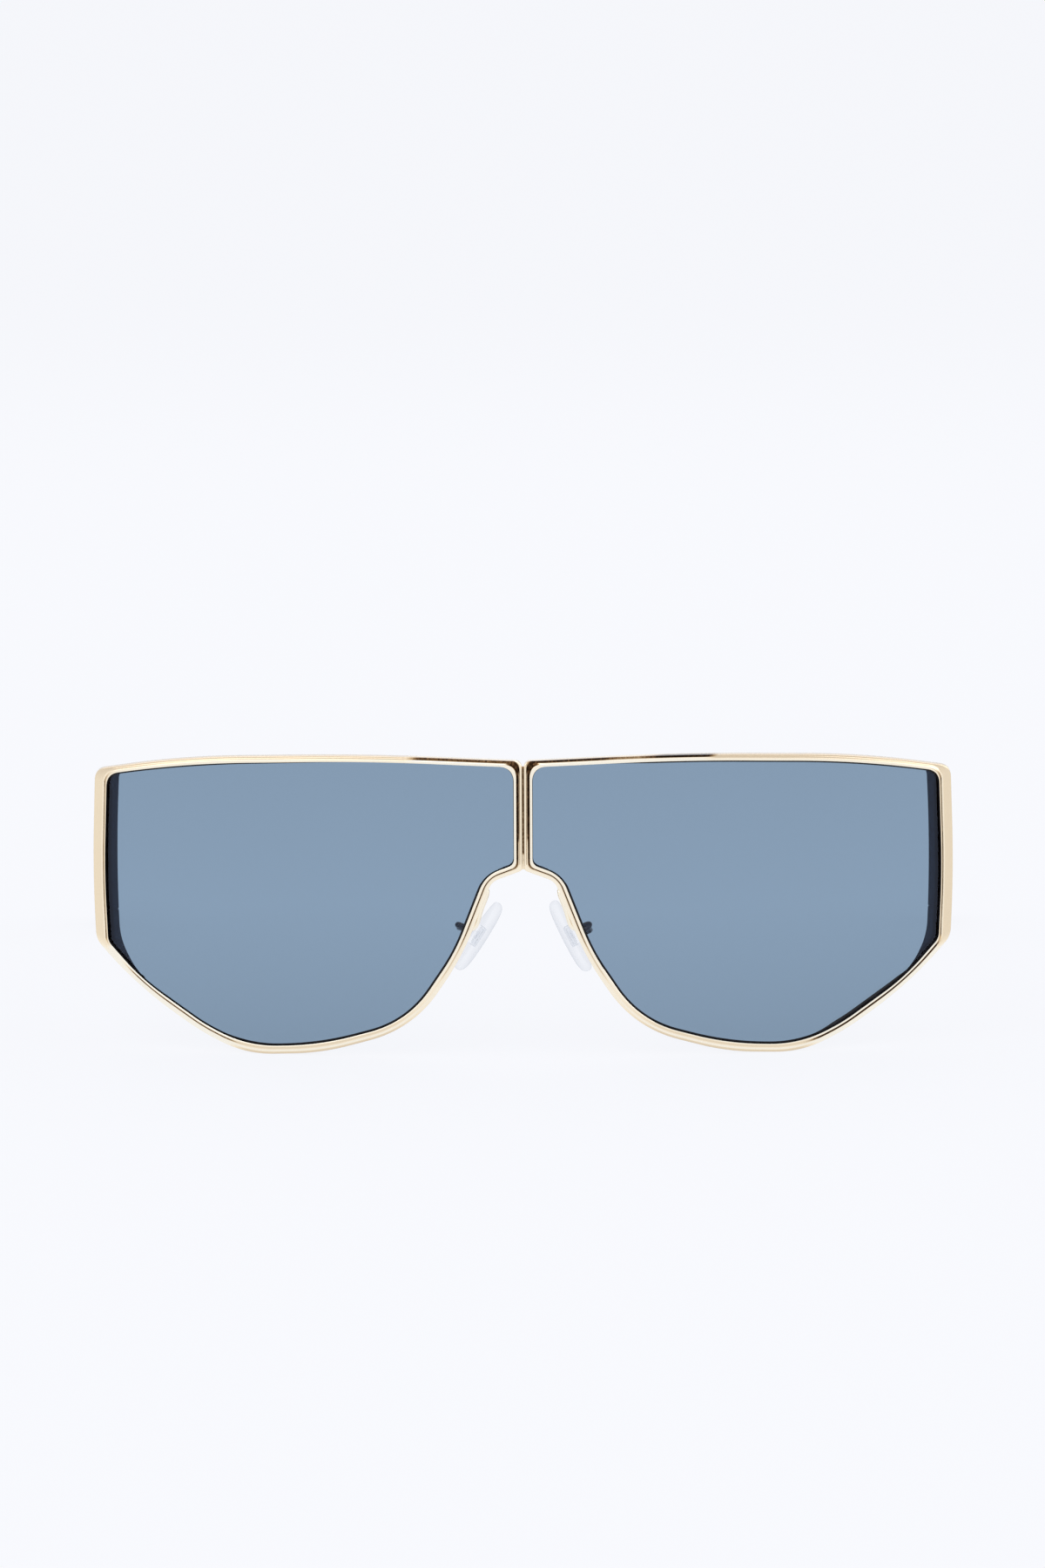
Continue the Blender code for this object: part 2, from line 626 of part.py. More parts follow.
def temple_outline_at(ear_angle):
    """The temple's outline in its own plane: along from the fold's axis, and up from the floor."""
    start = JOINT_GAP / 2
    fall = tan(DROP_ANGLE)
    ear = EAR_SHARE * TEMPLE_REACH
    ear_top = Vector((ear, TEMPLE_TOP - ear * fall))
    tip_rear = Vector((TEMPLE_REACH, ear_top.y - (TEMPLE_REACH - ear) * tan(ear_angle)))
    tip_front = tip_rear - TEMPLE_NARROW * Vector((sin(ear_angle), cos(ear_angle)))
    under = TEMPLE_TOP - TEMPLE_NARROW / cos(DROP_ANGLE)
    climb = tip_front.y + tip_front.x * tan(ear_angle)
    ear_under_x = (climb - under) / (tan(ear_angle) - fall)
    ear_under = Vector((ear_under_x, under - ear_under_x * fall))
    wide = WIDE_SHARE * TEMPLE_REACH
    wide_end = Vector((wide, under - wide * fall))
    corners = (
        (Vector((start, TEMPLE_TOP)), TEMPLE_TOP_BLEND, 3),
        (ear_top, EAR_OUTER_BLEND, 7),
        (tip_rear, TIP_BLEND, 5),
        (tip_front, TIP_BLEND, 5),
        (ear_under, EAR_INNER_BLEND, 7),
        (wide_end, TAPER_BLEND, 5),
        (Vector((start, TEMPLE_FOOT)), TEMPLE_FOOT_BLEND, 4),
    )
    return blended(corners)


def temple_outline():
    """The outline with the bend behind the ear that lets the tip rest on the floor."""
    shallow, steep = DROP_ANGLE, STEEPEST_EAR
    for _ in range(ANGLE_HALVINGS):
        middle = (shallow + steep) / 2
        if min(point.y for point in temple_outline_at(middle)) > 0:
            shallow = middle
        else:
            steep = middle
    return temple_outline_at(shallow)


def make_temple(tag, side, parent):
    """The black arm: a flat outline with rounded edges that gets thinner towards the tip."""
    outline = bpy.data.curves.new("temple_outline", "CURVE")
    outline.dimensions = "2D"
    outline.fill_mode = "BOTH"
    outline.extrude = TEMPLE_THICKNESS / 2
    points = temple_outline()
    line = outline.splines.new("POLY")
    line.points.add(len(points) - 1)
    for spot, point in zip(line.points, points):
        spot.co = (point.x, point.y, 0, 1)
    line.use_cyclic_u = True
    flat = bpy.data.objects.new("temple_outline", outline)
    PIECES.objects.link(flat)
    bpy.context.view_layer.update()
    graph = bpy.context.evaluated_depsgraph_get()
    plate = bpy.data.meshes.new_from_object(flat.evaluated_get(graph))
    bpy.data.objects.remove(flat, do_unlink=True)
    shape = bmesh.new()
    shape.from_mesh(plate)
    bpy.data.meshes.remove(plate)
    bmesh.ops.remove_doubles(shape, verts=shape.verts, dist=WELD)
    bmesh.ops.dissolve_limit(
        shape, angle_limit=TEMPLE_FLAT_ANGLE, verts=shape.verts, edges=shape.edges
    )
    middle = (TEMPLE_OUTER - TEMPLE_INNER) / 2
    for vert in shape.verts:
        vert.co = Vector((middle + vert.co.z, vert.co.x, vert.co.y))
    bmesh.ops.recalc_face_normals(shape, faces=shape.faces)
    rim_edges = [e for e in shape.edges if e.calc_face_angle(0) > FACET_ANGLE]
    rim_edges = [e for e in rim_edges if e.verts[0].co.x * e.verts[1].co.x > 0]
    bmesh.ops.bevel(
        shape, geom=rim_edges, offset=TEMPLE_EDGE_ROUND, segments=2, affect="EDGES", profile=0.5
    )
    for vert in shape.verts:
        taper = 1 - TEMPLE_TAPER_SHARE * vert.co.y / TEMPLE_REACH
        vert.co.x *= taper
    temple = mesh_object("temple_" + tag, shape, side, PIECES, BLACK, parent)

    relief = box((-TEMPLE_INNER - OVERRUN, -OVERRUN, -OVERRUN), (0, FOLD_RELIEF, TEMPLE_TOP + OVERRUN))
    combine(temple, cutter("fold_relief_" + tag, relief, side, parent), "DIFFERENCE")
    low = HINGE_HEIGHT - KNUCKLE_STACK / 2 - GAP
    high = HINGE_HEIGHT + KNUCKLE_STACK / 2 + GAP
    barrel = rod((0, 0, low), (0, 0, high + HINGE_HEAD_HEIGHT + GAP), HINGE_SPACE)
    combine(temple, cutter("temple_barrel_space_" + tag, barrel, side, parent), "DIFFERENCE")
    leaf_top = -TEMPLE_INNER + LEAF_THICKNESS + GAP
    leaf = box(
        (-TEMPLE_INNER - OVERRUN, 0, low),
        (leaf_top, HINGE_SPACE + TEMPLE_LEAF_LENGTH + GAP, high),
    )
    combine(temple, cutter("temple_leaf_space_" + tag, leaf, side, parent), "DIFFERENCE")
    for number, share in enumerate(RIVET_PLACE_SHARES, 1):
        along = HINGE_SPACE + share * TEMPLE_LEAF_LENGTH
        start = (-TEMPLE_INNER, along, HINGE_HEIGHT)
        end = (-TEMPLE_INNER + RIVET_LENGTH + GAP, along, HINGE_HEIGHT)
        hole = rod(start, end, RIVET_RADIUS + SCREW_CLEARANCE)
        name = f"rivet_hole_{number}_{tag}"
        combine(temple, cutter(name, hole, side, parent), "DIFFERENCE")


def make_temple_leaf(tag, side, parent):
    """The hinge half on the temple: one knuckle between the other two, and a riveted leaf."""
    low = HINGE_HEIGHT - KNUCKLE_STACK / 2
    high = HINGE_HEIGHT + KNUCKLE_STACK / 2
    inner = -TEMPLE_INNER
    leaf_end = HINGE_SPACE + TEMPLE_LEAF_LENGTH
    leaf = box((inner, HINGE_SPACE, low), (inner + LEAF_THICKNESS, leaf_end, high))
    hinge = mesh_object("hinge_temple_" + tag, leaf, side, PIECES, METAL, parent)
    start = HINGE_HEIGHT - KNUCKLE_HEIGHT / 2
    web_end = (inner + LEAF_THICKNESS, HINGE_SPACE + GAP, start + KNUCKLE_HEIGHT)
    web = box((inner, 0, start), web_end)
    combine(hinge, cutter("web_temple_" + tag, web, side, parent), "UNION")
    combine(hinge, cutter("knuckle_temple_" + tag, knuckle(0, 0, start), side, parent), "UNION")
    bore = rod((0, 0, low - OVERRUN), (0, 0, high + OVERRUN), HINGE_SCREW_RADIUS + SCREW_CLEARANCE)
    combine(hinge, cutter("bore_temple_" + tag, bore, side, parent), "DIFFERENCE")
    for number, share in enumerate(RIVET_PLACE_SHARES, 1):
        along = HINGE_SPACE + share * TEMPLE_LEAF_LENGTH
        hole = rod(
            (inner - OVERRUN, along, HINGE_HEIGHT),
            (inner + OVERRUN, along, HINGE_HEIGHT),
            RIVET_RADIUS + SCREW_CLEARANCE,
        )
        name = f"leaf_hole_{number}_{tag}"
        combine(hinge, cutter(name, hole, side, parent), "DIFFERENCE")
        profile = (
            (0, RIVET_LENGTH),
            (RIVET_RADIUS - RIVET_DOME, RIVET_LENGTH),
            (RIVET_RADIUS, RIVET_LENGTH - RIVET_DOME),
            (RIVET_RADIUS, 0),
            (0, 0),
        )
        end = inner + RIVET_LENGTH
        turn = Matrix.Rotation(-side * pi / 2, 4, "Y")
        place = Matrix.Translation((side * end, along, HINGE_HEIGHT)) @ turn
        turned(f"temple_rivet_{number}_{tag}", profile, PIECES, METAL, parent, place)


def pad_frame(tag, side, parent):
    """An empty on the pad's screw: X away from the nose, Y along the screw, Z up the pad."""
    tilt = Matrix.Rotation(-side * PAD_TILT[tag], 4, "Y")
    splay = Matrix.Rotation(-side * PAD_SPLAY, 4, "Z")
    turn = splay @ tilt
    across = rim_edge_at(PAD_HEIGHT) - PAD_FROM_RIM[tag]
    centre = Vector((side * across, PAD_DEPTH, PAD_HEIGHT))
    offset = Vector((side * (PAD_STANDOFF + PAD_THICKNESS / 2), 0, 0))
    frame = bpy.data.objects.new("pad_screw_axis_" + tag, None)
    frame.parent = parent
    frame.matrix_local = Matrix.Translation(centre + turn.to_3x3() @ offset) @ turn
    PIECES.objects.link(frame)
    bpy.context.view_layer.update()
    return frame


def make_pad(tag, side, parent):
    """The silicone pad: a drop-shaped outline, narrower at the top, flat behind and crowned
    towards the nose."""
    rings = []
    for size, through in PAD_LAYER_SHARES:
        out = -PAD_STANDOFF - through * PAD_THICKNESS
        shrink = (1 - size) * PAD_WIDTH / 2
        ring = []
        for step in range(ROUND_SIDES):
            angle = 2 * pi * step / ROUND_SIDES
            narrowing = PAD_NARROW_SHARE + (1 - PAD_NARROW_SHARE) * (1 - cos(angle)) / 2
            across = sin(angle) * (PAD_WIDTH / 2 - shrink) * (narrowing + 1) / 2
            ring.append((out, across, cos(angle) * (PAD_LENGTH / 2 - shrink)))
        rings.append(ring)
    shape = loft(rings, closed=False)
    pad = mesh_object("nose_pad_" + tag, shape, side, PIECES, SILICONE, parent)
    pocket_floor = -PAD_STANDOFF - INSERT_FOOT_THICKNESS - 2 * GAP
    half_long = INSERT_FOOT_LENGTH / 2 + GAP
    half_wide = INSERT_FOOT_WIDTH / 2 + GAP
    pocket = box((pocket_floor, -half_wide, -half_long), (0, half_wide, half_long))
    combine(pad, cutter("pad_pocket_" + tag, pocket, side, parent), "DIFFERENCE")


def make_insert(tag, side, parent):
    """The hard clear foot moulded into the pad, with the eye that the screw goes through."""
    back = -PAD_STANDOFF - GAP
    front = back - INSERT_FOOT_THICKNESS
    half_long = INSERT_FOOT_LENGTH / 2
    half_wide = INSERT_FOOT_WIDTH / 2
    foot = box((front, -half_wide, -half_long), (back, half_wide, half_long))
    insert = mesh_object("pad_insert_" + tag, foot, side, PIECES, CORE, parent)
    half_neck = INSERT_NECK / 2
    neck = box(
        ((front + back) / 2, -EYE_WIDTH / 2, -half_neck),
        (0, EYE_WIDTH / 2, half_neck),
    )
    combine(insert, cutter("insert_neck_" + tag, neck, side, parent), "UNION")
    eye = rod((0, -EYE_WIDTH / 2, 0), (0, EYE_WIDTH / 2, 0), EYE_RADIUS)
    combine(insert, cutter("insert_eye_" + tag, eye, side, parent), "UNION")
    bore = rod((0, -EYE_WIDTH, 0), (0, EYE_WIDTH, 0), PAD_SCREW_RADIUS + SCREW_CLEARANCE)
    combine(insert, cutter("insert_bore_" + tag, bore, side, parent), "DIFFERENCE")


def make_pad_box(tag, side, parent):
    """The clip at the arm's end: a back and two cheeks that hold the screw."""
    half_wide = EYE_WIDTH / 2 + GAP + CHEEK_THICKNESS
    half_long = BOX_LENGTH / 2
    back_start = EYE_RADIUS + GAP
    block = box((-BOX_REACH, -half_wide, -half_long), (back_start + BOX_BACK, half_wide, half_long))
    clip = mesh_object("pad_box_" + tag, block, side, PIECES, METAL, parent)
    slot_half = EYE_WIDTH / 2 + GAP
    slot_long = half_long + OVERRUN
    slot = box((-BOX_REACH - OVERRUN, -slot_half, -slot_long), (back_start, slot_half, slot_long))
    combine(clip, cutter("box_slot_" + tag, slot, side, parent), "DIFFERENCE")
    reach = half_wide + OVERRUN
    bore = rod((0, -reach, 0), (0, reach, 0), PAD_SCREW_RADIUS + SCREW_CLEARANCE)
    combine(clip, cutter("box_bore_" + tag, bore, side, parent), "DIFFERENCE")

    length = 2 * half_wide + GAP + PAD_HEAD_HEIGHT
    neck = length - PAD_HEAD_HEIGHT
    profile = (
        (0, length),
        (PAD_HEAD_RADIUS, length),
        (PAD_HEAD_RADIUS, neck),
        (PAD_SCREW_RADIUS, neck),
        (PAD_SCREW_RADIUS, 0),
        (0, 0),
    )
    place = Matrix.Translation((0, -half_wide, 0)) @ Matrix.Rotation(-pi / 2, 4, "X")
    turned("pad_screw_" + tag, profile, PIECES, METAL, parent, place)


def rim_edge_at(height):
    """How far across the rim's outer edge is at this height beside the nose."""
    points = rim_contour(RIM_BAND)
    edge = HALF_WIDTH
    for first, second in zip(points, points[1:] + points[:1]):
        low, high = sorted((first.y, second.y))
        if low <= height < high:
            t = (height - first.y) / (second.y - first.y)
            edge = min(edge, first.x + t * (second.x - first.x))
    return edge


def make_pad_arm(tag, side, parent, pad):
    """The bent wire that runs down behind the rim's nose side and loops back to the box."""
    behind = RIM_DEPTH + GAP + ARM_RADIUS
    foot = []
    for share in (ARM_TOP_SHARE, (ARM_TOP_SHARE + ARM_LOW_SHARE) / 2, ARM_LOW_SHARE):
        height = share * FRONT_HEIGHT
        across = rim_edge_at(height) - ARM_SHOW
        foot.append(Vector((side * across, behind + wrap(across), height)))
    loop_height = ARM_LOOP_SHARE * FRONT_HEIGHT
    loop_across = rim_edge_at(loop_height) + ARM_LOOP_OUT
    loop = Vector((side * loop_across, RIM_DEPTH + ARM_LOOP_BEHIND, loop_height))
    half_wide = EYE_WIDTH / 2 + GAP + CHEEK_THICKNESS
    into_box = Vector((side * (EYE_RADIUS + BOX_BACK) / 2, -half_wide - GAP, 0))
    out_of_box = into_box - Vector((0, 2 * ARM_RADIUS, 0))
    route = foot + [loop, pad.matrix_local @ out_of_box, pad.matrix_local @ into_box]
    wire = bpy.data.curves.new("pad_arm_" + tag, "CURVE")
    wire.dimensions = "3D"
    wire.bevel_depth = ARM_RADIUS
    wire.bevel_resolution = 2
    wire.use_fill_caps = True
    line = wire.splines.new("POLY")
    line.points.add(ARM_POINTS - 1)
    for number, spot in enumerate(line.points):
        spot.co = (*smooth_point(route, number / (ARM_POINTS - 1)), 1)
    wire.materials.append(GOLD)
    arm = bpy.data.objects.new("pad_arm_" + tag, wire)
    arm.parent = parent
    PIECES.objects.link(arm)


def smooth_point(route, share):
    """The point this share of the way along a smooth curve through the route's points."""
    spans = len(route) - 1
    span = min(int(share * spans), spans - 1)
    t = share * spans - span
    before = route[max(span - 1, 0)]
    start, end = route[span], route[span + 1]
    after = route[min(span + 2, spans)]
    leave, arrive = (end - before) / 2, (after - start) / 2
    return (
        (2 * t**3 - 3 * t**2 + 1) * start
        + (t**3 - 2 * t**2 + t) * leave
        + (3 * t**2 - 2 * t**3) * end
        + (t**3 - t**2) * arrive
    )


def temple_frame(tag, side, parent):
    """An empty on the fold's axis, turned out by the temple's splay."""
    frame = bpy.data.objects.new("fold_axis_" + tag, None)
    frame.parent = parent
    frame.location = (side * HINGE_ACROSS, HINGE_DEPTH, 0)
    frame.rotation_euler = (0, 0, -side * SPLAY)
    PIECES.objects.link(frame)
    return frame


def overall_depth():
    """From the front's foremost point to the rear of the temple tips."""
    length = max(point.x for point in temple_outline())
    inner = TEMPLE_INNER * (1 - TEMPLE_TAPER_SHARE)
    return HINGE_DEPTH + length * cos(SPLAY) + inner * sin(SPLAY)


def make_sunglasses():
    """Every piece, under one empty that puts the footprint's middle at the origin."""
    origin = bpy.data.objects.new("front_of_bridge", None)
    origin.location = (0, -overall_depth() / 2, 0)
    PIECES.objects.link(origin)
    make_brace(origin)
    for tag, side in SIDES.items():
        make_rim("rim_" + tag, side, origin)
        make_lens("lens_" + tag, side, origin)
        make_endpiece(tag, side, origin)
        make_front_leaf(tag, side, origin)
        make_hinge_screw(tag, side, origin)
        temple = temple_frame(tag, side, origin)
        make_temple(tag, side, temple)
        make_temple_leaf(tag, side, temple)
        pad = pad_frame(tag, side, origin)
        make_pad(tag, side, pad)
        make_insert(tag, side, pad)
        make_pad_box(tag, side, pad)
        make_pad_arm(tag, side, origin, pad)


clear_scene()
PIECES = collection("sunglasses")
CUTTERS = collection("cutters")
GOLD = material("gold_plate", (0.9, 0.72, 0.42), 0.18, 1.0)
METAL = material("hinge_metal", (0.78, 0.64, 0.4), 0.3, 1.0)
TINT = material("blue_grey_tint", (0.13, 0.2, 0.29), 0.05, 0.0, 0.6)
BLACK = material("black_gloss", (0.015, 0.015, 0.018), 0.12, 0.0)
SILICONE = material("clear_silicone", (0.9, 0.92, 0.93), 0.25, 0.0, 0.8)
CORE = material("clear_core", (0.86, 0.88, 0.9), 0.1, 0.0, 0.8)
make_sunglasses()
bpy.context.view_layer.update()
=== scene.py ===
"""The looks of a pair of oversized flat-top mask sunglasses: stepped gold rims, blue-grey lenses,
clear nose pads on wire arms, and glossy black endpieces and temples with their hinges."""
import json
from math import ceil, cos, pi, radians, sin, sqrt, tan

import bmesh
import bpy
from mathutils import Matrix, Vector


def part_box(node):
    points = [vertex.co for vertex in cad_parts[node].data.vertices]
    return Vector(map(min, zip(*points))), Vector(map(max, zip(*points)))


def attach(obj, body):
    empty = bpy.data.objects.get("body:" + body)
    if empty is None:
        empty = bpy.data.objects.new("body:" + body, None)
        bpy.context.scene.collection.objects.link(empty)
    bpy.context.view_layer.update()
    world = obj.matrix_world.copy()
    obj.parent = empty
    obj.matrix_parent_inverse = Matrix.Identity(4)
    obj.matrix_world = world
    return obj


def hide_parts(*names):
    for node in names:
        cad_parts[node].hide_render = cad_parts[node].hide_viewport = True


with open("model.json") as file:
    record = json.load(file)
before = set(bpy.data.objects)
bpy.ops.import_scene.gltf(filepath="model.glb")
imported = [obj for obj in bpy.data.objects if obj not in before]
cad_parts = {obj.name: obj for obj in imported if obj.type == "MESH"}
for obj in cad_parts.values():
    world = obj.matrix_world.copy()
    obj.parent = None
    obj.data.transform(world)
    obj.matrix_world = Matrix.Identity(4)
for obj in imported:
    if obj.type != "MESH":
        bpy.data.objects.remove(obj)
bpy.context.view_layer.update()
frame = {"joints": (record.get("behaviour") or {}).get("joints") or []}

MM = 0.001

# The front's own sizes, as in the solids
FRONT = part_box("rim_right")[0].y
HALF_WIDTH = 73.5 * MM
FRONT_HEIGHT = 51.5 * MM
WRAP_RADIUS = 205.0 * MM
SEAM = 0.15 * MM
RIM_BAND = 1.45 * MM
SIDE_BAND = 2.1 * MM
RIM_DEPTH = 2.6 * MM
STEP_TOP = 0.345
PLATE_LOW = 34.3
PLATE_HIGH = 34.7

# The black blocks behind the rims' outer sides, and the screws that close them
BLOCK_OUTER = HALF_WIDTH - 0.6 * MM
BLOCK_TOP = 0.9194 * FRONT_HEIGHT
BLOCK_GAP = 0.3 * MM
BLOCK_DEPTH = 7.7 * MM
BLOCK_BULGE = 0.45 * MM
BLOCK_LEAN = 0.86 * MM
SPLIT_HEIGHT = 0.458 * FRONT_HEIGHT
HALF_SPLIT = 0.15 * MM
CLOSING_FOOT = -8.6 * MM
CLOSING_SEAT = -5.6 * MM
CLOSING_END = 5.1 * MM
CLOSING_AHEAD = 3.85 * MM
CLOSING_HOLE = 0.75 * MM
CLOSING_HEAD_HOLE = 1.2 * MM

# The hinges: leaves, knuckles and the room that they need. Lengths run from the fold axis
LEAF_FACE = HALF_WIDTH - 3.4 * MM
LEAF_THICKNESS = 0.8 * MM
LEAF_START = 1.4 * MM
FRONT_LEAF = 4.6 * MM
TEMPLE_LEAF = 7.4 * MM
LEAF_ROUNDING = 0.12 * MM
HALF_HINGE = 2.7 * MM
KNUCKLE_RADIUS = 1.1 * MM
KNUCKLE_HEIGHT = 1.6 * MM
KNUCKLE_BORE = 0.62 * MM
KNUCKLE_ROOM = 1.4 * MM
HALF_SEAT = 3.0 * MM
SEAT_DEPTH = 1.1 * MM
SEAT_ROOM = 0.3 * MM
HEAD_ROOM = 0.9 * MM
RIVET_PLACES = [LEAF_START + share * TEMPLE_LEAF for share in (0.33, 0.74)]
RIVET_HOLE = 0.8 * MM

# The temples
DROP_ANGLE = radians(7.8)
SPLAY = radians(3.3)
TEMPLE_REACH = 128.0 * MM
TEMPLE_WIDTH = 7.6 * MM
TEMPLE_INNER = -1.1 * MM
TEMPLE_OUTER = 2.1 * MM
TEMPLE_TAPER = 0.24
EAR_SHARE = 0.705
WIDE_SHARE = 0.345

# The nose pads, whose half sizes are in millimetres, and the wires that carry them
PAD_TILT = {"left": radians(33.5), "right": radians(27.5)}
PAD_TURN = radians(8)
PAD_HALF_WIDTH = 3.7
PAD_HALF_LENGTH = 6.7
PAD_POINTS = 72
PIN_BORE = 0.6 * MM
HALF_CLIP = 1.2 * MM
WIRE_RADIUS = 0.5 * MM
WIRE_STEPS = 12
WIRE_SIDES = 24

# The camera, set so that the front lies in the picture as in the photograph
CAMERA_AIM = Vector((-0.068 * MM, FRONT, 46.95 * MM))
CAMERA_HEIGHT = radians(8)
CAMERA_DISTANCE = 1200.0 * MM
CAMERA_ROLL = radians(-0.227)
CAMERA_LENS = 163.27

# Corners of the rim's outer edge: across and up as shares, the rounding outside and at the lens,
# the steps round it, and the kind of edge beyond it
RIM_CORNERS = (
    (0.0, 0.985, 0.027, 0.05, 12, "top"),
    (0.3566, 1.0046, 0.268, 0.226, 12, "top"),
    (0.7791, 0.9832, 0.1925, 0.2125, 12, "top"),
    (0.9939, 0.929, 0.0352, 0.0413, 12, "side"),
    (1.002, 0.582, 0.165, 0.109, 10, "side"),
    (0.9953, 0.3577, 0.0283, 0.018, 12, "full"),
    (0.8999, 0.2107, 0.152, 0.085, 12, "full"),
    (0.7519, 0.0691, 0.0493, 0.0411, 8, "full"),
    (0.6459, -0.0041, 0.0933, 0.104, 12, "full"),
    (0.469, 0.0082, 0.0893, 0.114, 12, "full"),
    (0.2539, 0.0943, 0.1535, 0.134, 16, "full"),
    (0.1391, 0.3385, 0.1053, 0.0746, 12, "full"),
    (0.0709, 0.5863, 0.0245, 0.0511, 12, "full"),
    (0.0, 0.6236, 0.0115, 0.0211, 8, "full"),
)

# Where the lip starts and ends, the step ends and the rail ends on each kind of edge
STATIONS = {
    "full": (0, 0.5, 1.03, 1.45),
    "top": (0, 0.5, 0.8068, 1.05),
    "side": (0, 0.32, 0.5, 2.1),
}

# The rim's section where it is full, zone by zone: out from the lens opening, back from the front
RIM_SECTION = (
    ("wall", (0, 0.6), (0, 0.36), (0.004, 0.2), (0.02, 0.09)),
    ("front", (0.05, 0.03), (0.1, 0.005), (0.2, 0), (0.29, 0.003), (0.36, 0.015), (0.42, 0.045),
     (0.46, 0.1), (0.485, 0.2), (0.5, 0.3), (0.54, 0.4), (0.62, 0.45), (0.74, 0.475), (0.86, 0.49),
     (0.98, 0.49), (1.03, 0.43), (1.06, 0.37), (1.1, 0.345), (1.17, 0.335), (1.26, 0.335),
     (1.34, 0.34), (1.4, 0.365), (1.44, 0.43), (1.45, 0.55)),
    ("outside", (1.45, 1.5), (1.45, 2.42)),
    ("back", (1.42, 2.53), (1.34, 2.59), (1.25, 2.6), (0.2, 2.6), (0.08, 2.58), (0.02, 2.53),
     (0, 2.44), (0, 2.0), (0.4, 2.0)),
    ("wall", (0.4, 0.6)),
)

# Brightness painted on the gold as its reflections, before the dark lines, from the lens outwards: place in
# millimetres, and how bright it is
LIP_PAINTED_LIGHT = {
    "bridge": ((0, 0.95), (0.45, 0.95), (0.5, 0.8), (0.95, 0.72), (1.05, 0.8), (1.3, 0.8), (1.45, 0.55)),
    "nose": ((0, 0.95), (0.45, 0.9), (0.55, 0.84), (0.8, 0.9), (1.3, 0.93), (1.45, 0.88)),
    "bottom": ((0, 0.95), (0.15, 0.9), (0.27, 0.66), (0.5, 0.66), (0.66, 0.85), (0.8, 0.98), (1.0, 0.96),
               (1.12, 0.62), (1.45, 0.6)),
    "slant": ((0, 1.0), (0.3, 0.98), (0.64, 0.98), (1.26, 1.0), (1.45, 0.95)),
    "side": ((0, 0.75), (0.16, 0.75), (0.45, 0.95), (0.56, 0.95), (0.66, 0.7), (1.9, 0.7), (2.1, 0.68)),
    "bar": ((0, 0.97), (0.6, 0.97), (0.68, 0.8), (1.0, 0.86), (1.05, 0.95)),
    "top": ((0, 0.93), (0.42, 0.9), (0.54, 0.56), (0.7, 0.52), (0.78, 0.57), (0.86, 0.52), (1.05, 0.53)),
}

# The dark lines of painted reflection that differ between the rims, by side: how far across the bar's
# line ends and the slant's fades, and where each starts and ends on the section, with the slant's and
# side's tone
BAR_END = {-1: 19.3, 1: 32.1}
BAR_LINE = {-1: (0.62, 1.06), 1: (0.66, 1.2)}
SLANT_FADE = {-1: (66, 69), 1: (71, 73)}
SLANT_LINE = {-1: (0.35, 0.58, 0.2), 1: (0.35, 0.64, 0.03)}
SIDE_LINE = {-1: (0.22, 0.38, 0.3), 1: (0.22, 0.38, 0.15)}

# How far the lens's rings lie from its middle, as shares
LENS_SHARES = (0.004, 0.06, 0.13, 0.2, 0.28, 0.36, 0.44, 0.52, 0.6, 0.68, 0.76, 0.83, 0.89, 0.94, 0.975)


def eased(value, low, high):
    """From 0 at the low value to 1 at the high one."""
    share = min(1, max(0, (value - low) / (high - low)))
    return share * share * (3 - 2 * share)


def between(stops, value):
    """The level at a value, between stops of (value, level)."""
    for (low, first), (high, second) in zip(stops, stops[1:]):
        if value <= high:
            return first + (second - first) * max(0, value - low) / (high - low)
    return stops[-1][1]


def band(value, low, high):
    """One between these two values, and nothing outside them."""
    return eased(value, low - 0.05, low + 0.03) * (1 - eased(value, high - 0.03, high + 0.05))


def deselect():
    """Leave edit mode, with nothing selected."""
    if bpy.context.object and bpy.context.object.mode == "EDIT":
        bpy.ops.object.mode_set(mode="OBJECT")
    bpy.ops.object.select_all(action="DESELECT")


def pick(piece):
    """Make this the one selected piece."""
    deselect()
    piece.select_set(True)
    bpy.context.view_layer.objects.active = piece


def wrap(across):
    """How far back the front lies at this distance from the middle."""
    return WRAP_RADIUS - sqrt(WRAP_RADIUS**2 - across**2)


def blended(corners, runs):
    """A closed outline through corners of (point, blend, steps), with extra points on its runs."""
    arcs = []
    for place, (corner, blend, steps) in enumerate(corners):
        before = corners[place - 1][0]
        after = corners[(place + 1) % len(corners)][0]
        start = corner + (before - corner).normalized() * blend
        end = corner + (after - corner).normalized() * blend
        shares = [step / steps for step in range(steps + 1)]
        arcs.append([(1 - t) ** 2 * start + 2 * t * (1 - t) * corner + t**2 * end for t in shares])
    points = []
    for place, arc in enumerate(arcs):
        points += arc
        following = arcs[(place + 1) % len(arcs)][0]
        for extra in range(1, runs[place]):
            points.append(arc[-1].lerp(following, extra / runs[place]))
    return points


def edge_offset(kind, out):
    """How far out an edge of this kind lies, for a place on the full section, in millimetres."""
    full, own = STATIONS["full"], STATIONS[kind]
    for low, high, own_low, own_high in zip(full, full[1:], own, own[1:]):
        if out <= high:
            break
    return own_low + (own_high - own_low) * (out - low) / (high - low)


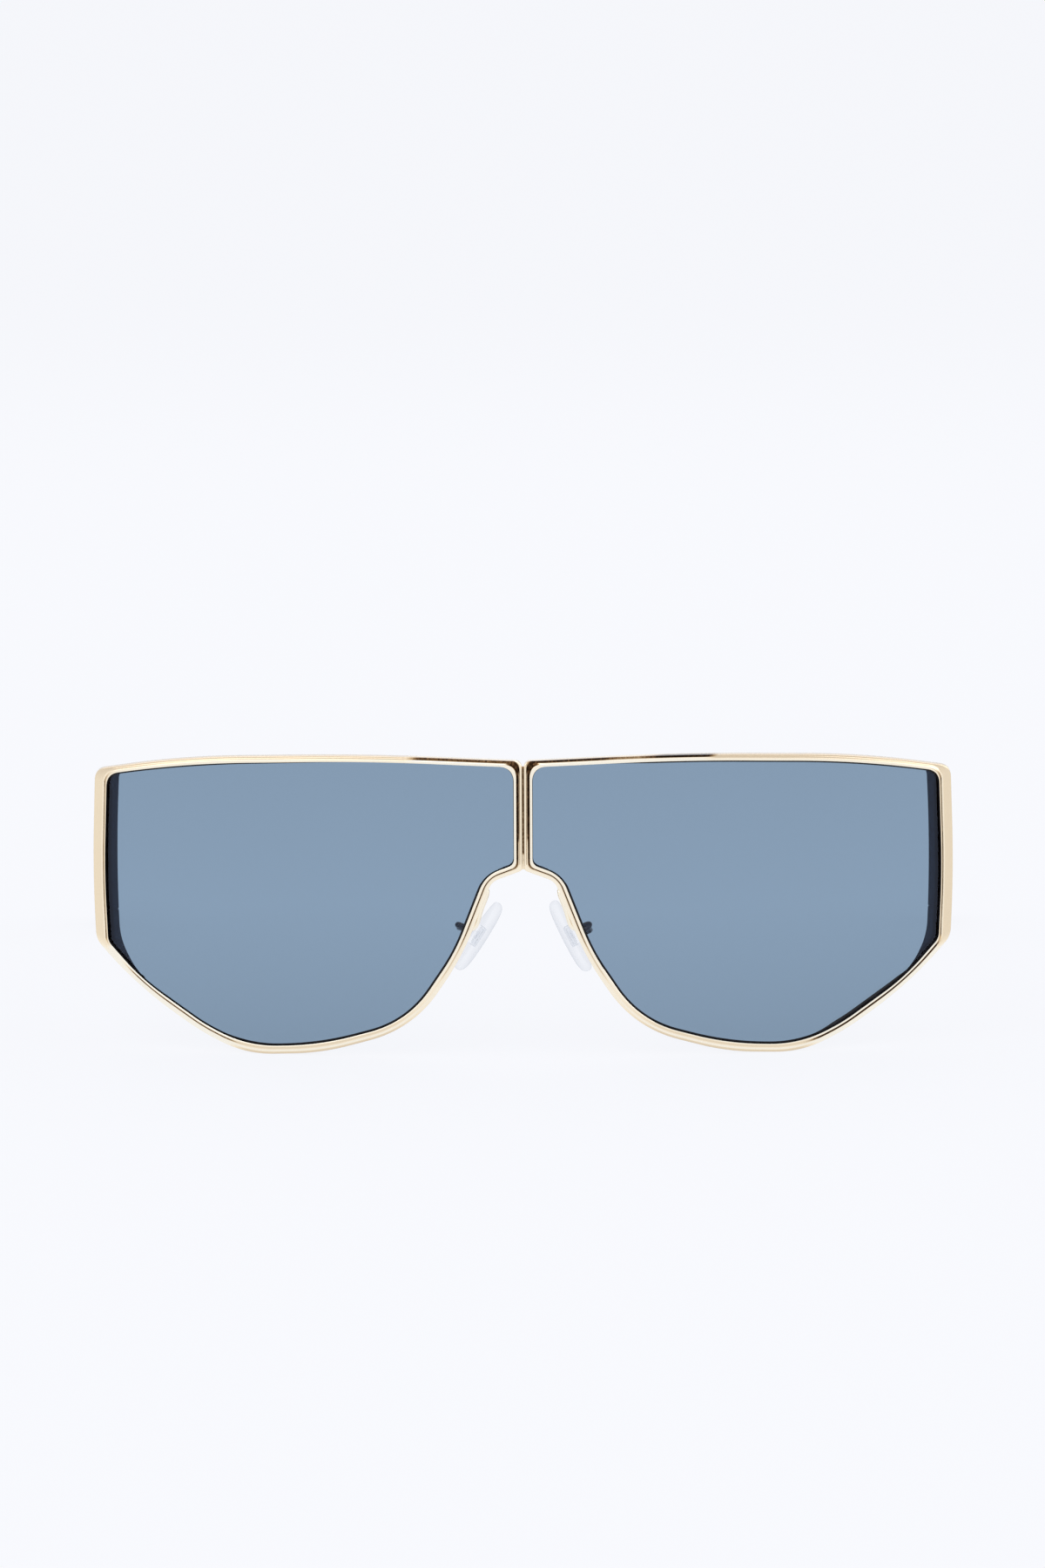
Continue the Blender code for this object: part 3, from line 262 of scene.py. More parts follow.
def rim_corners(out):
    """The corners of the rim's outline at this place on its section, in millimetres."""
    reach = HALF_WIDTH - SEAM
    outer = [Vector((SEAM + row[0] * reach, row[1] * FRONT_HEIGHT)) for row in RIM_CORNERS]
    insets = [(STATIONS[row[5]][3] - edge_offset(row[5], out)) * MM for row in RIM_CORNERS]
    share = out * MM / RIM_BAND
    corners = []
    for place, (corner, row) in enumerate(zip(outer, RIM_CORNERS)):
        before = (corner - outer[place - 1]).normalized()
        after = (outer[(place + 1) % len(outer)] - corner).normalized()
        first, second = insets[place - 1], insets[place]
        if first == second:
            inward = Vector((before.y + after.y, -before.x - after.x)).normalized()
            shift = inward * first / inward.dot(Vector((before.y, -before.x)))
        else:
            shift = (second * before - first * after) / (before.x * after.y - before.y * after.x)
        blend = FRONT_HEIGHT * (share * row[2] + (1 - share) * row[3])
        corners.append((corner + shift, blend, row[4]))
    return corners


def rim_outline(out):
    """The rim's outline at this place on its section."""
    return blended(rim_corners(out), RIM_RUNS)


def rim_kinds():
    """How much of each kind of edge there is at each point of the rim's outline."""
    kinds = []
    for place, row in enumerate(RIM_CORNERS):
        before, after = RIM_CORNERS[place - 1][5], row[5]
        for step in range(row[4] + 1):
            share = dict.fromkeys(STATIONS, 0)
            share[before] += 1 - step / row[4]
            share[after] += step / row[4]
            kinds.append(share)
        for _ in range(1, RIM_RUNS[place]):
            kinds.append(kinds[-1])
    return kinds


def runs_of(corners, step):
    """How many lengths of about one step each straight run of an outline takes."""
    counts = []
    for place, (corner, blend, _) in enumerate(corners):
        after, after_blend, _ = corners[(place + 1) % len(corners)]
        length = (after - corner).length - blend - after_blend
        counts.append(max(1, ceil(length / step)))
    return counts


RIM_RUNS = runs_of(rim_corners(1.45), 1.2 * MM)


def start_ring(name, points):
    """A ring of points, ready to be extruded."""
    deselect()
    bpy.ops.mesh.primitive_circle_add(vertices=len(points), radius=MM)
    piece = bpy.context.object
    piece.name = piece.data.name = name
    place = piece.data.attributes.new("place", "INT", "POINT")
    piece.data.attributes.new("ring", "INT", "POINT")
    for number, (vert, point) in enumerate(zip(piece.data.vertices, points)):
        vert.co = point
        place.data[number].value = number
    bpy.ops.object.mode_set(mode="EDIT")
    bpy.ops.mesh.select_mode(type="VERT")
    bpy.ops.mesh.select_all(action="SELECT")
    return piece


def next_ring(piece, points, number):
    """Extrude the selected ring and set it to its new points."""
    bpy.ops.mesh.extrude_edges_indiv()
    shape = bmesh.from_edit_mesh(piece.data)
    place = shape.verts.layers.int["place"]
    ring = shape.verts.layers.int["ring"]
    for vert in shape.verts:
        if vert.select:
            vert.co = points[vert[place]]
            vert[ring] = number
    bmesh.update_edit_mesh(piece.data)


def swept(name, rings, closed=False, tones=None, bands=()):
    """A skin over rings of points. A closed one joins up with its first ring, and an open one has
    both ends filled. Tones are kept for the finish, and each band is (material, from, to ring)."""
    piece = start_ring(name, rings[0])
    if not closed:
        bpy.ops.mesh.edge_face_add()
    for number, ring in enumerate(rings[1:], 1):
        next_ring(piece, ring, number)
    if closed:
        next_ring(piece, rings[0], 0)
    else:
        bpy.ops.mesh.edge_face_add()
    bpy.ops.mesh.select_all(action="SELECT")
    bpy.ops.mesh.remove_doubles(threshold=MM / 1000)
    bpy.ops.mesh.normals_make_consistent(inside=False)
    bpy.ops.object.mode_set(mode="OBJECT")
    mesh = piece.data
    rows = [item.value for item in mesh.attributes["ring"].data]
    if tones:
        places = [item.value for item in mesh.attributes["place"].data]
        mesh.attributes.new("tone", "FLOAT", "POINT")
        for number, item in enumerate(mesh.attributes["tone"].data):
            item.value = tones[rows[number]][places[number]]
    for polygon in mesh.polygons:
        around = [rows[vert] for vert in polygon.vertices]
        for material, first, last in bands:
            if min(around) >= first and max(around) <= last:
                polygon.material_index = material
    for helper in ("place", "ring"):
        mesh.attributes.remove(mesh.attributes[helper])
    return piece


def edited(piece, operator, **settings):
    """Use one edit-mode operator on all of a piece."""
    pick(piece)
    bpy.ops.object.mode_set(mode="EDIT")
    bpy.ops.mesh.select_all(action="SELECT")
    operator(**settings)
    bpy.ops.object.mode_set(mode="OBJECT")
    return piece


def modified(piece, kind, **settings):
    """Put one modifier on a piece and apply it."""
    pick(piece)
    change = piece.modifiers.new("change", kind)
    for key, value in settings.items():
        setattr(change, key, value)
    bpy.ops.object.modifier_apply(modifier=change.name)
    return piece


def cut_strips(piece, places, direction):
    """Bisect a piece across this direction at each place."""
    for place in places:
        edited(piece, bpy.ops.mesh.bisect, plane_co=Vector(direction) * place, plane_no=direction)


def soften(piece, width, segments=3, angle=30):
    """Round a piece's edges."""
    return modified(
        piece, "BEVEL", width=width, segments=segments, limit_method="ANGLE", angle_limit=radians(angle),
        harden_normals=False,
    )


def cut_away(piece, tool):
    """Cut a tool out of a piece."""
    modified(piece, "BOOLEAN", object=tool, operation="DIFFERENCE", solver="EXACT")
    bpy.data.objects.remove(tool, do_unlink=True)
    return piece


def placed(name):
    """Name a new primitive, with its place in its mesh."""
    piece = bpy.context.object
    piece.name = piece.data.name = name
    bpy.ops.object.transform_apply(location=True, rotation=True, scale=True)
    return piece


def block(name, low, high):
    """A squared block between two corners."""
    deselect()
    low, high = Vector(low), Vector(high)
    bpy.ops.mesh.primitive_cube_add(size=1, location=(low + high) / 2, scale=high - low)
    return placed(name)


def barrel(name, start, end, radius):
    """A round bar between two points."""
    deselect()
    start, end = Vector(start), Vector(end)
    turn = (end - start).to_track_quat("Z", "Y").to_euler()
    bpy.ops.mesh.primitive_cylinder_add(
        vertices=48, radius=radius, depth=(end - start).length, location=(start + end) / 2, rotation=turn
    )
    return placed(name)


def upright(name, across, back, low, high, radius):
    """A round bar that stands from one height to another."""
    return barrel(name, (across, back, low), (across, back, high), radius)


def turned(name, start, direction, profile, sides=48):
    """A round piece from (radius, height) pairs, which stands on a point and runs in a direction."""
    turn = Vector(direction).to_track_quat("Z", "Y").to_matrix()
    angles = [2 * pi * number / sides for number in range(sides)]
    return swept(name, [
        [Vector(start) + turn @ Vector((radius * cos(a), radius * sin(a), height)) for a in angles]
        for radius, height in profile
    ])


def joined(name, *parts):
    """Several shapes as one piece."""
    pick(parts[0])
    for part in parts:
        part.select_set(True)
    bpy.ops.object.join()
    parts[0].name = parts[0].data.name = name
    return parts[0]


def moved(piece, side, matrix=Matrix.Identity(4)):
    """Set a piece, drawn for the right-hand side, in its own place."""
    if side > 0:
        piece.data.transform(matrix)
        return piece
    piece.data.transform(matrix @ Matrix.Diagonal((-1, 1, 1, 1)))
    return edited(piece, bpy.ops.mesh.normals_make_consistent, inside=False)


def finished(piece, body, slot, finishes, *nodes, angle=35):
    """Smooth a piece, give it its finish, and let it ride in place of its solids."""
    pick(piece)
    bpy.ops.object.shade_smooth_by_angle(angle=radians(angle))
    for finish in finishes if isinstance(finishes, list) else [finishes]:
        piece.data.materials.append(finish)
    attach(piece, body)
    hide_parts(*nodes)
    deselect()


class Finish:
    """A material built node by node. Inputs are tables of a value or a source for each socket."""

    def __init__(self, name):
        self.material = bpy.data.materials.new(name)
        self.material.use_nodes = True
        self.tree = self.material.node_tree
        self.place = self.node("ShaderNodeTexCoord").outputs["Object"]

    def feed(self, node, inputs):
        for name, value in inputs.items():
            if isinstance(value, (int, float, tuple)):
                node.inputs[name].default_value = value
            else:
                self.tree.links.new(value, node.inputs[name])

    def set(self, **inputs):
        """Feed the shader itself."""
        named = {name.replace("_", " "): value for name, value in inputs.items()}
        self.feed(self.tree.nodes["Principled BSDF"], named)

    def node(self, kind, inputs=None, **settings):
        made = self.tree.nodes.new(kind)
        for key, value in settings.items():
            setattr(made, key, value)
        self.feed(made, inputs or {})
        return made

    def grain(self, scale, detail, stretch=(1, 1, 1)):
        """Fine noise on the piece, with its scale in grains per millimetre."""
        turn = self.node("ShaderNodeMapping", {"Scale": stretch, "Vector": self.place})
        inputs = {"Scale": scale / MM, "Detail": detail, "Vector": turn.outputs["Vector"]}
        return self.node("ShaderNodeTexNoise", inputs).outputs["Fac"]

    def cloud(self, scale, detail, width):
        """Noise about zero, this wide from its lowest to its highest."""
        return self.maths("MULTIPLY", self.maths("SUBTRACT", self.grain(scale, detail), 0.5), width)

    def ramp(self, source, *stops):
        """A colour ramp over a value; each stop is (position, colour)."""
        made = self.node("ShaderNodeValToRGB", {"Fac": source})
        elements = made.color_ramp.elements
        while len(elements) < len(stops):
            elements.new(0.5)
        for element, (position, colour) in zip(elements, stops):
            element.position = position
            element.color = (*colour, 1)
        return made.outputs["Color"]

    def spread(self, source, low, high, to_low, to_high):
        """Bring a value from one range to another."""
        inputs = {"Value": source, "From Min": low, "From Max": high, "To Min": to_low, "To Max": to_high}
        return self.node("ShaderNodeMapRange", inputs).outputs["Result"]

    def maths(self, operation, *values):
        return self.node("ShaderNodeMath", dict(enumerate(values)), operation=operation).outputs["Value"]

    def bump(self, source, height, strength):
        inputs = {"Distance": height, "Strength": strength, "Height": source}
        self.set(Normal=self.node("ShaderNodeBump", inputs).outputs["Normal"])


# Colours of the gold, from its darkest painted reflection to its brightest, along the painted tone
GOLD_TONES = (
    (0.0, (0.016, 0.008, 0.004)), (0.12, (0.045, 0.022, 0.010)), (0.25, (0.16, 0.085, 0.035)),
    (0.4, (0.48, 0.34, 0.19)), (0.55, (0.73, 0.60, 0.43)), (0.7, (0.90, 0.76, 0.55)),
    (0.85, (1.0, 0.875, 0.67)), (1.0, (1.0, 0.95, 0.82)),
)


def gold_plating(name):
    """Polished pale gold. Its tone carries painted reflections of the pale and dark parts of the room
    along the steps and painted shade in their recesses, and in the dark it breaks up into flecks."""
    made = Finish(name)
    made.set(Metallic=1.0)
    # The tone attribute holds the painted reflections and shade
    tone = made.node("ShaderNodeAttribute", attribute_name="tone").outputs["Fac"]
    flecks = made.maths("SUBTRACT", made.grain(3.4, 3, (1, 1, 0.6)), 0.5)
    broken = made.spread(tone, 0.05, 0.48, 0.75, 0.035)
    value = made.maths("ADD", tone, made.maths("MULTIPLY", flecks, broken))
    made.set(Base_Color=made.ramp(value, *GOLD_TONES))
    made.set(Roughness=made.spread(made.grain(0.8, 4), 0.3, 0.7, 0.16, 0.24))
    made.bump(made.grain(0.7, 2), 0.003 * MM, 0.25)
    return made.material


def lens_tint(name, colour):
    """Clear plastic with a blue-grey tint, a little deeper towards its top and its foot."""
    made = Finish(name)
    made.set(Transmission_Weight=1.0, IOR=1.46, Specular_Tint=(0.62, 0.72, 1.0, 1.0))
    split = made.node("ShaderNodeSeparateXYZ", {0: made.place})
    height = made.spread(split.outputs["Z"], 0.0, FRONT_HEIGHT, 0.0, 1.0)
    tone = made.ramp(
        made.maths("ADD", height, made.cloud(0.03, 2, 0.12)),
        (0.06, tuple(0.9 * part for part in colour)), (0.5, colour),
        (0.96, tuple(0.95 * part for part in colour)),
    )
    made.set(Base_Color=tone)
    made.set(Roughness=made.spread(made.grain(0.5, 3), 0.4, 0.6, 0.0, 0.01))
    return made.material


def painted_edge_shade(name):
    """The lens's bevelled rim, painted nearly black as painted shade: the rim's dark groove seen through
    the tinted bevel.
    """
    made = Finish(name)
    made.set(IOR=1.35)
    clouds = made.grain(0.8, 3)
    made.set(Base_Color=made.ramp(clouds, (0.3, (0.006, 0.006, 0.008)), (0.7, (0.02, 0.021, 0.027))))
    made.set(Roughness=made.spread(clouds, 0.3, 0.7, 0.2, 0.35))
    return made.material


def black_gloss(name, mirror, dark, pale):
    """Polished black plastic with hair-fine wipe marks. Its IOR sets how much it mirrors."""
    made = Finish(name)
    made.set(IOR=mirror)
    made.set(Base_Color=made.ramp(made.grain(0.06, 2), (0.3, dark), (0.7, pale)))
    wipes = made.grain(0.5, 3, (1, 0.15, 1))
    made.set(Roughness=made.spread(wipes, 0.3, 0.7, 0.1, 0.15))
    made.bump(made.grain(0.15, 1), 0.001 * MM, 0.2)
    return made.material


def clear_plastic(name, colour, edge):
    """Clear plastic that lets the light straight through, with painted shade where it is seen edge-on in
    place of the bending of light at its edges.
    """
    made = Finish(name)
    made.set(Transmission_Weight=1.0, IOR=1.0, Coat_Weight=0.35, Coat_IOR=1.25)
    facing = made.node("ShaderNodeLayerWeight", {"Blend": 0.5})
    tone = made.maths("ADD", facing.outputs["Facing"], made.cloud(0.4, 3, 0.12))
    middle = tuple((first * 2 + second) / 3 for first, second in zip(colour, edge))
    # Painted shade: the colour greys towards the edges seen edge-on
    made.set(Base_Color=made.ramp(tone, (0.1, colour), (0.75, middle), (0.95, edge)))
    made.set(Roughness=made.spread(made.grain(0.4, 2), 0.3, 0.7, 0.08, 0.14))
    made.set(Coat_Roughness=made.spread(made.grain(0.4, 2), 0.3, 0.7, 0.1, 0.2))
    return made.material


def satin_metal(name, light, dark, roughness):
    """Machined gold-coloured metal of the hinges and screws."""
    made = Finish(name)
    made.set(Metallic=1.0)
    lines = made.grain(2.6, 3, (1, 1, 6))
    made.set(Base_Color=made.ramp(lines, (0.35, dark), (0.65, light)))
    made.set(Roughness=made.spread(lines, 0.3, 0.7, roughness * 0.8, roughness * 1.3))
    made.bump(lines, 0.006 * MM, 0.5)
    return made.material


# The gold carries painted reflections and shade in its tone attribute
GOLD = gold_plating("rim_gold")
TINT = lens_tint("lens_blue_grey", (0.247, 0.347, 0.454))
# Painted shade for the lens's bevelled rim
EDGE_SHADE = painted_edge_shade("lens_edge_painted_shade")
BLACK = black_gloss("temple_black", 1.45, (0.007, 0.007, 0.009), (0.012, 0.012, 0.015))
BLOCK = black_gloss("endpiece_black", 1.3, (0.012, 0.012, 0.016), (0.017, 0.017, 0.022))
SILICONE = clear_plastic("pad_silicone", (0.935, 0.945, 0.96), (0.62, 0.65, 0.7))
CORE = clear_plastic("pad_core", (0.965, 0.97, 0.98), (0.74, 0.77, 0.8))
STEEL = satin_metal("hinge_metal", (0.86, 0.72, 0.48), (0.6, 0.47, 0.28), 0.26)
# The pad boxes and their screws behind the lens are painted dark brown, as painted shade
BOX = satin_metal("pad_box_metal", (0.2, 0.15, 0.11), (0.07, 0.05, 0.035), 0.3)


def rim_parts(across, up, kind, side):
    """How much of each named part of the rim there is at a place on its outline, in millimetres."""
    bridge = kind["full"] * eased(up, 31.5, 34.2) * (1 - eased(across, 5, 7))
    slant = kind["full"] * eased(across, 47, 51)
    nose = (kind["full"] - bridge) * (1 - eased(across, 14, 24))
    bar = kind["top"] * (1 - eased(across, BAR_END[side] - 0.3, BAR_END[side] + 0.3))
    return {
        "bridge": bridge, "nose": nose, "bottom": max(0, kind["full"] - bridge - slant - nose),
        "slant": slant, "side": kind["side"], "bar": bar, "top": kind["top"] - bar,
    }


def painted_reflection_lines(parts, across, up, kind, side):
    """The dark lines of painted reflection on the rim at a place, with painted shade in the recess beside
    the
    bridge: how strong each is, from where to where it lies on the section, and its tone. The right bar's
    line is brown in its middle and black at its far end."""
    right = side > 0
    bar_tone = 0.2 - 0.12 * eased(across, 15, 20)
    if right:
        far = eased(across, 21, 23)
        bar_tone = 0.1 + 0.22 * eased(across, 14, 16) * (1 - far) - 0.14 * far
    corner = eased(up, 44, 46) * (1 - eased(across, 7, 9)) * min(1, 6 * kind["full"] * kind["top"])
    nose = parts["nose"] * eased(up, 12, 15) * (0.4 + 0.6 * eased(up, 17, 23))
    slant = parts["slant"] * (1 - eased(across, *SLANT_FADE[side]))
    return (
        (parts["bridge"], 0.52, 0.92 - 0.16 * (1 - eased(up, 34, 40)), 0.03),
        (corner, 0.46, 1.04, 0.07),
        (parts["bar"], *BAR_LINE[side], bar_tone),
        (nose, 0.53, 0.73, 0.0),
        (slant, *SLANT_LINE[side]),
        (parts["side"], *SIDE_LINE[side]),
        (parts["side"] if right else 0, 0.7, 2.0, 0.66),
    )


def rim_painted_light(zone, out, back, across, up, kind, side):
    """How bright the gold is painted at a place on the rim, for its reflections and shade. Beside the
    bridge the recess of the step is painted dark, as shade and dark reflection. Along the bars, the nose,
    the outer side and the slant there is only a thin painted dark reflection."""
    parts = rim_parts(across, up, kind, side)
    # The walls towards the lens are painted dark, a painted reflection of the lens's dark edge, but not
    # under the top
    if zone == "wall":
        return 0.1 + 0.6 * kind["top"]
    if zone == "back":
        return 0.7
    # Outside, painted shade darkens the groove beside the bridge plate, a painted dark line runs at the
    # right bar's far end, and the top and the outer side are painted darker
    if zone == "outside":
        groove = 0.64 * parts["bridge"] * eased(up, PLATE_LOW - 0.1, PLATE_HIGH + 0.1)
        line = 0.8 * parts["bar"] * (1 - eased(back, 1.5, 2.4)) * (eased(across, 21, 23) if side > 0 else 0)
        return 0.9 - groove - line - 0.34 * parts["top"] - 0.2 * parts["side"]
    place = sum(kind[name] * edge_offset(name, out) for name in kind)
    tone = sum(share * between(LIP_PAINTED_LIGHT[name], place) for name, share in parts.items())
    for share, low, high, level in painted_reflection_lines(parts, across, up, kind, side):
        tone += (level - tone) * band(place, low, high) * min(1, share)
    return tone


def make_rim(tag, side):
    """A hoop of stepped section, swept from outlines that each have their own corner rounding. The
    step is cut deep beside the bridge and on the outer side, and is a soft shoulder elsewhere."""
    rings, tones = [], []
    kinds = rim_kinds()
    section = [(zone, *place) for zone, *places in RIM_SECTION for place in places]
    for zone, out, back in section:
        ring, row = [], []
        for p, kind in zip(rim_outline(out), kinds):
            across, up, depth = p.x / MM, p.y / MM, back
            if zone == "front" and 0.36 < out < 1.15:
                parts = rim_parts(across, up, kind, side)
                stepped = parts["bridge"] + parts["side"]
                depth = stepped * back + (1 - stepped) * STEP_TOP * eased(out, 0.34, 1.15)
            ring.append(Vector((side * p.x, FRONT + wrap(p.x) + depth * MM, p.y)))
            # Each point gets its painted reflections and shade
            row.append(rim_painted_light(zone, out, back, across, up, kind, side))
        rings.append(ring)
        tones.append(row)
    rim = swept("rim_gold_" + tag, rings, closed=True, tones=tones)
    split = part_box("endpiece_lower_" + tag)[1].z
    start = FRONT + wrap(HALF_WIDTH) + 1.3 * MM
    low = (HALF_WIDTH - SIDE_BAND - MM, start, split + 0.09 * MM)
    high = (HALF_WIDTH + MM, start + 6 * MM, split + 0.21 * MM)
    cut_away(rim, moved(block("gap", low, high), side))
    finished(rim, "front", "gold_plate", GOLD, "rim_" + tag)


def edge_shade_width(across, up, side):
    """How wide the painted shade at the lens's rim shows beside the gold, in millimetres."""
    width = 0.3
    if up > 40 and across > 5:
        width = 0.04 + 0.24 * (eased(across, 13, 23) if side > 0 else eased(across, 20, 60))
    elif up > 30 and across < 10:
        width = 0.04 + 0.2 * (1 - eased(up, 30, 34))
    if side < 0 and up < 25:
        width -= 0.1 * eased(across, 47, 52)
    if side > 0 and up < 25:
        width += 0.42 * eased(across, 49, 54) * (1 - eased(across, 63, 68))
    return width


def make_lens(tag, side):
    """The lens, built out from its middle so that both faces follow the wrap smoothly."""
    middle = Vector((37 * MM, 27 * MM))
    opening, inside, seat = rim_outline(0), rim_outline(-1), rim_outline(0.1)
    face = []
    for edge, inner in zip(opening, inside):
        face.append(edge.lerp(inner, edge_shade_width(edge.x / MM, edge.y / MM, side)))
    front = [(face, 0.62, share) for share in LENS_SHARES]
    bevel = rim_outline(-0.05)
    edges = [(face, 0.62, 1), (opening, 0.68, 1), (seat, 0.9, 1), (seat, 1.7, 1), (bevel, 1.94, 1)]
    back = [(face, 2.0, share) for share in (1, *LENS_SHARES[::-1])]
    rings = []
    for outline, depth, share in front + edges + back:
        flat = [middle + (p - middle) * share for p in outline]
        rings.append([Vector((side * p.x, FRONT + wrap(p.x) + depth * MM, p.y)) for p in flat])
    first, last = len(front), len(front + edges) - 1
    # The edge rings take the painted shade
    lens = swept(f"lens_{tag}_tinted", rings, bands=((1, first, last),))
    finished(lens, "front", "lens_tint", [TINT, EDGE_SHADE], "lens_" + tag, angle=25)


def endpiece_form(name):
    """The whole black block behind the rim's outer side, drawn for the right-hand side. Its inner
    face bulges at both ends, and its back leans outwards and falls with the temple."""
    reach, width = 10.9 * MM, 3.66 * MM
    hook, inner, thin = BLOCK_OUTER - reach, BLOCK_OUTER - width, reach - width
    corners = []
    for across, up, blend, steps in (
        (0.385 * reach, 1.0275, 0.005, 2), (reach, 1.0, 0.04, 10), (reach, 0.4013, 0.034, 10),
        (0.33 * reach, 0.2387, 0.07, 10), (0, 0.1869, 0.005, 2), (0.0275 * reach, 0.2101, 0.005, 2),
        (thin, 0.3442, 0.105, 16), (thin, 0.9947, 0.02, 12), (0.385 * reach, 1.0106, 0.005, 2),
    ):
        corners.append((Vector((hook + across, up * BLOCK_TOP)), blend * BLOCK_TOP, steps))
    outline = blended(corners, runs_of(corners, 2 * MM))
    back_face = wrap(BLOCK_OUTER) + RIM_DEPTH + BLOCK_GAP + BLOCK_DEPTH - 0.15 * MM
    piece = swept(name, [[Vector((p.x, y, p.y)) for p in outline] for y in (0, back_face)])
    cut_strips(piece, [hook + step * 0.8 * MM for step in range(1, 10)], (1, 0, 0))
    for vert in piece.data.vertices:
        share = min(1, max(0, vert.co.x - hook) / (inner - hook))
        rise = eased(share, 0, 1)
        hollow = ((vert.co.z - 31.5 * MM) / (15.5 * MM)) ** 2 * max(0, share - 0.4) / 0.6
        vert.co.x -= BLOCK_BULGE * min(1, hollow) * min(1, (BLOCK_OUTER - vert.co.x) / width)
        near = wrap(vert.co.x) + RIM_DEPTH + BLOCK_GAP
        start = near + 1.2 * MM
        far = start + (back_face - start) * rise
        if vert.co.y > 0:
            lean = BLOCK_LEAN * rise * min(1, (BLOCK_OUTER - vert.co.x) / width)
            vert.co = (vert.co.x + lean, far, vert.co.z - (far - near) * tan(DROP_ANGLE))
        else:
            vert.co.y = near
    return piece


def make_endpieces(tag, side):
    """Both halves of the block, with the hinge's seat and the closing screw's hole."""
    hinge = hinge_centre()
    hinge.y -= FRONT
    low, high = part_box("closing_screw_right")
    across, back = (low.x + high.x) / 2, hinge.y - CLOSING_AHEAD
    foot = SPLIT_HEIGHT + CLOSING_FOOT
    for half, direction in (("upper", -1), ("lower", 1)):
        piece = endpiece_form(f"endpiece_{half}_{tag}_black")
        cut = {"plane_co": (0, 0, SPLIT_HEIGHT - direction * HALF_SPLIT), "plane_no": (0, 0, direction)}
        edited(piece, bpy.ops.mesh.bisect, **cut, use_fill=True, clear_outer=True)
        soften(piece, 0.28 * MM, 4, 40)
        cut_away(piece, upright("hole", across, back, foot, SPLIT_HEIGHT + CLOSING_END, CLOSING_HOLE))
        if half == "lower":
            seat = SPLIT_HEIGHT + CLOSING_SEAT
            cut_away(piece, upright("seat", across, back, foot, seat, CLOSING_HEAD_HOLE))
        else:
            low, high = hinge.z - HALF_SEAT, hinge.z + HALF_SEAT
            cut_away(piece, upright("space", hinge.x, hinge.y, low, high + HEAD_ROOM, KNUCKLE_ROOM))
            corner = (LEAF_FACE - 3 * MM, hinge.y - LEAF_START - FRONT_LEAF - SEAT_ROOM, low)
            cut_away(piece, block("seat", corner, (LEAF_FACE + SEAT_DEPTH, hinge.y, high)))
        moved(piece, side, Matrix.Translation((0, FRONT, 0)))
        finished(piece, "front", "black_gloss", BLOCK, f"endpiece_{half}_{tag}")


def joint_place(name):
    """Where this joint is."""
    return Vector(next(joint["pos_m"] for joint in frame["joints"] if joint["name"] == name))


def hinge_centre():
    """The middle of the right-hand hinge, on its fold axis."""
    place = joint_place("temple_right_fold")
    low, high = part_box("hinge_temple_right")
    place.z = (low.z + high.z) / 2
    return place


def slotted_screw(name, start, direction, shank, head, length, head_height):
    """A screw with a domed, slotted head at its start and a plain shank."""
    end = head_height + length
    dome = ((0.96, 1), (1, 0.88), (1, 0.45), (0.93, 0.25), (0.75, 0.1), (0.4, 0.02), (0.02, 0))
    screw = turned(name, start, direction, (
        (shank * 0.02, end), (shank * 0.7, end), (shank, end - shank * 0.3), (shank, head_height),
        *((head * wide, head_height * deep) for wide, deep in dome),
    ))
    along = Vector(direction).normalized()
    across = along.orthogonal().normalized()
    long, wide, deep = head * 1.2, head * 0.14, head_height * 0.45
    slot = block("slot", (-long, -wide, -head_height), (long, wide, deep))
    turn = Matrix((across, along.cross(across), along)).transposed().to_4x4()
    slot.data.transform(Matrix.Translation(Vector(start)) @ turn)
    return cut_away(screw, slot)


def plate(face, start, end, low, high, rounding=LEAF_ROUNDING):
    """A plate of a hinge leaf, whose inner face lies at this distance across."""
    return soften(block("plate", (face, start, low), (face + LEAF_THICKNESS, end, high)), rounding)


def knuckle(across, back, low):
    """One bored knuckle of a hinge, which starts at this height."""
    bar = soften(upright("bar", across, back, low, low + KNUCKLE_HEIGHT, KNUCKLE_RADIUS), LEAF_ROUNDING)
    return cut_away(bar, upright("bore", across, back, low - MM, low + 3 * MM, KNUCKLE_BORE))


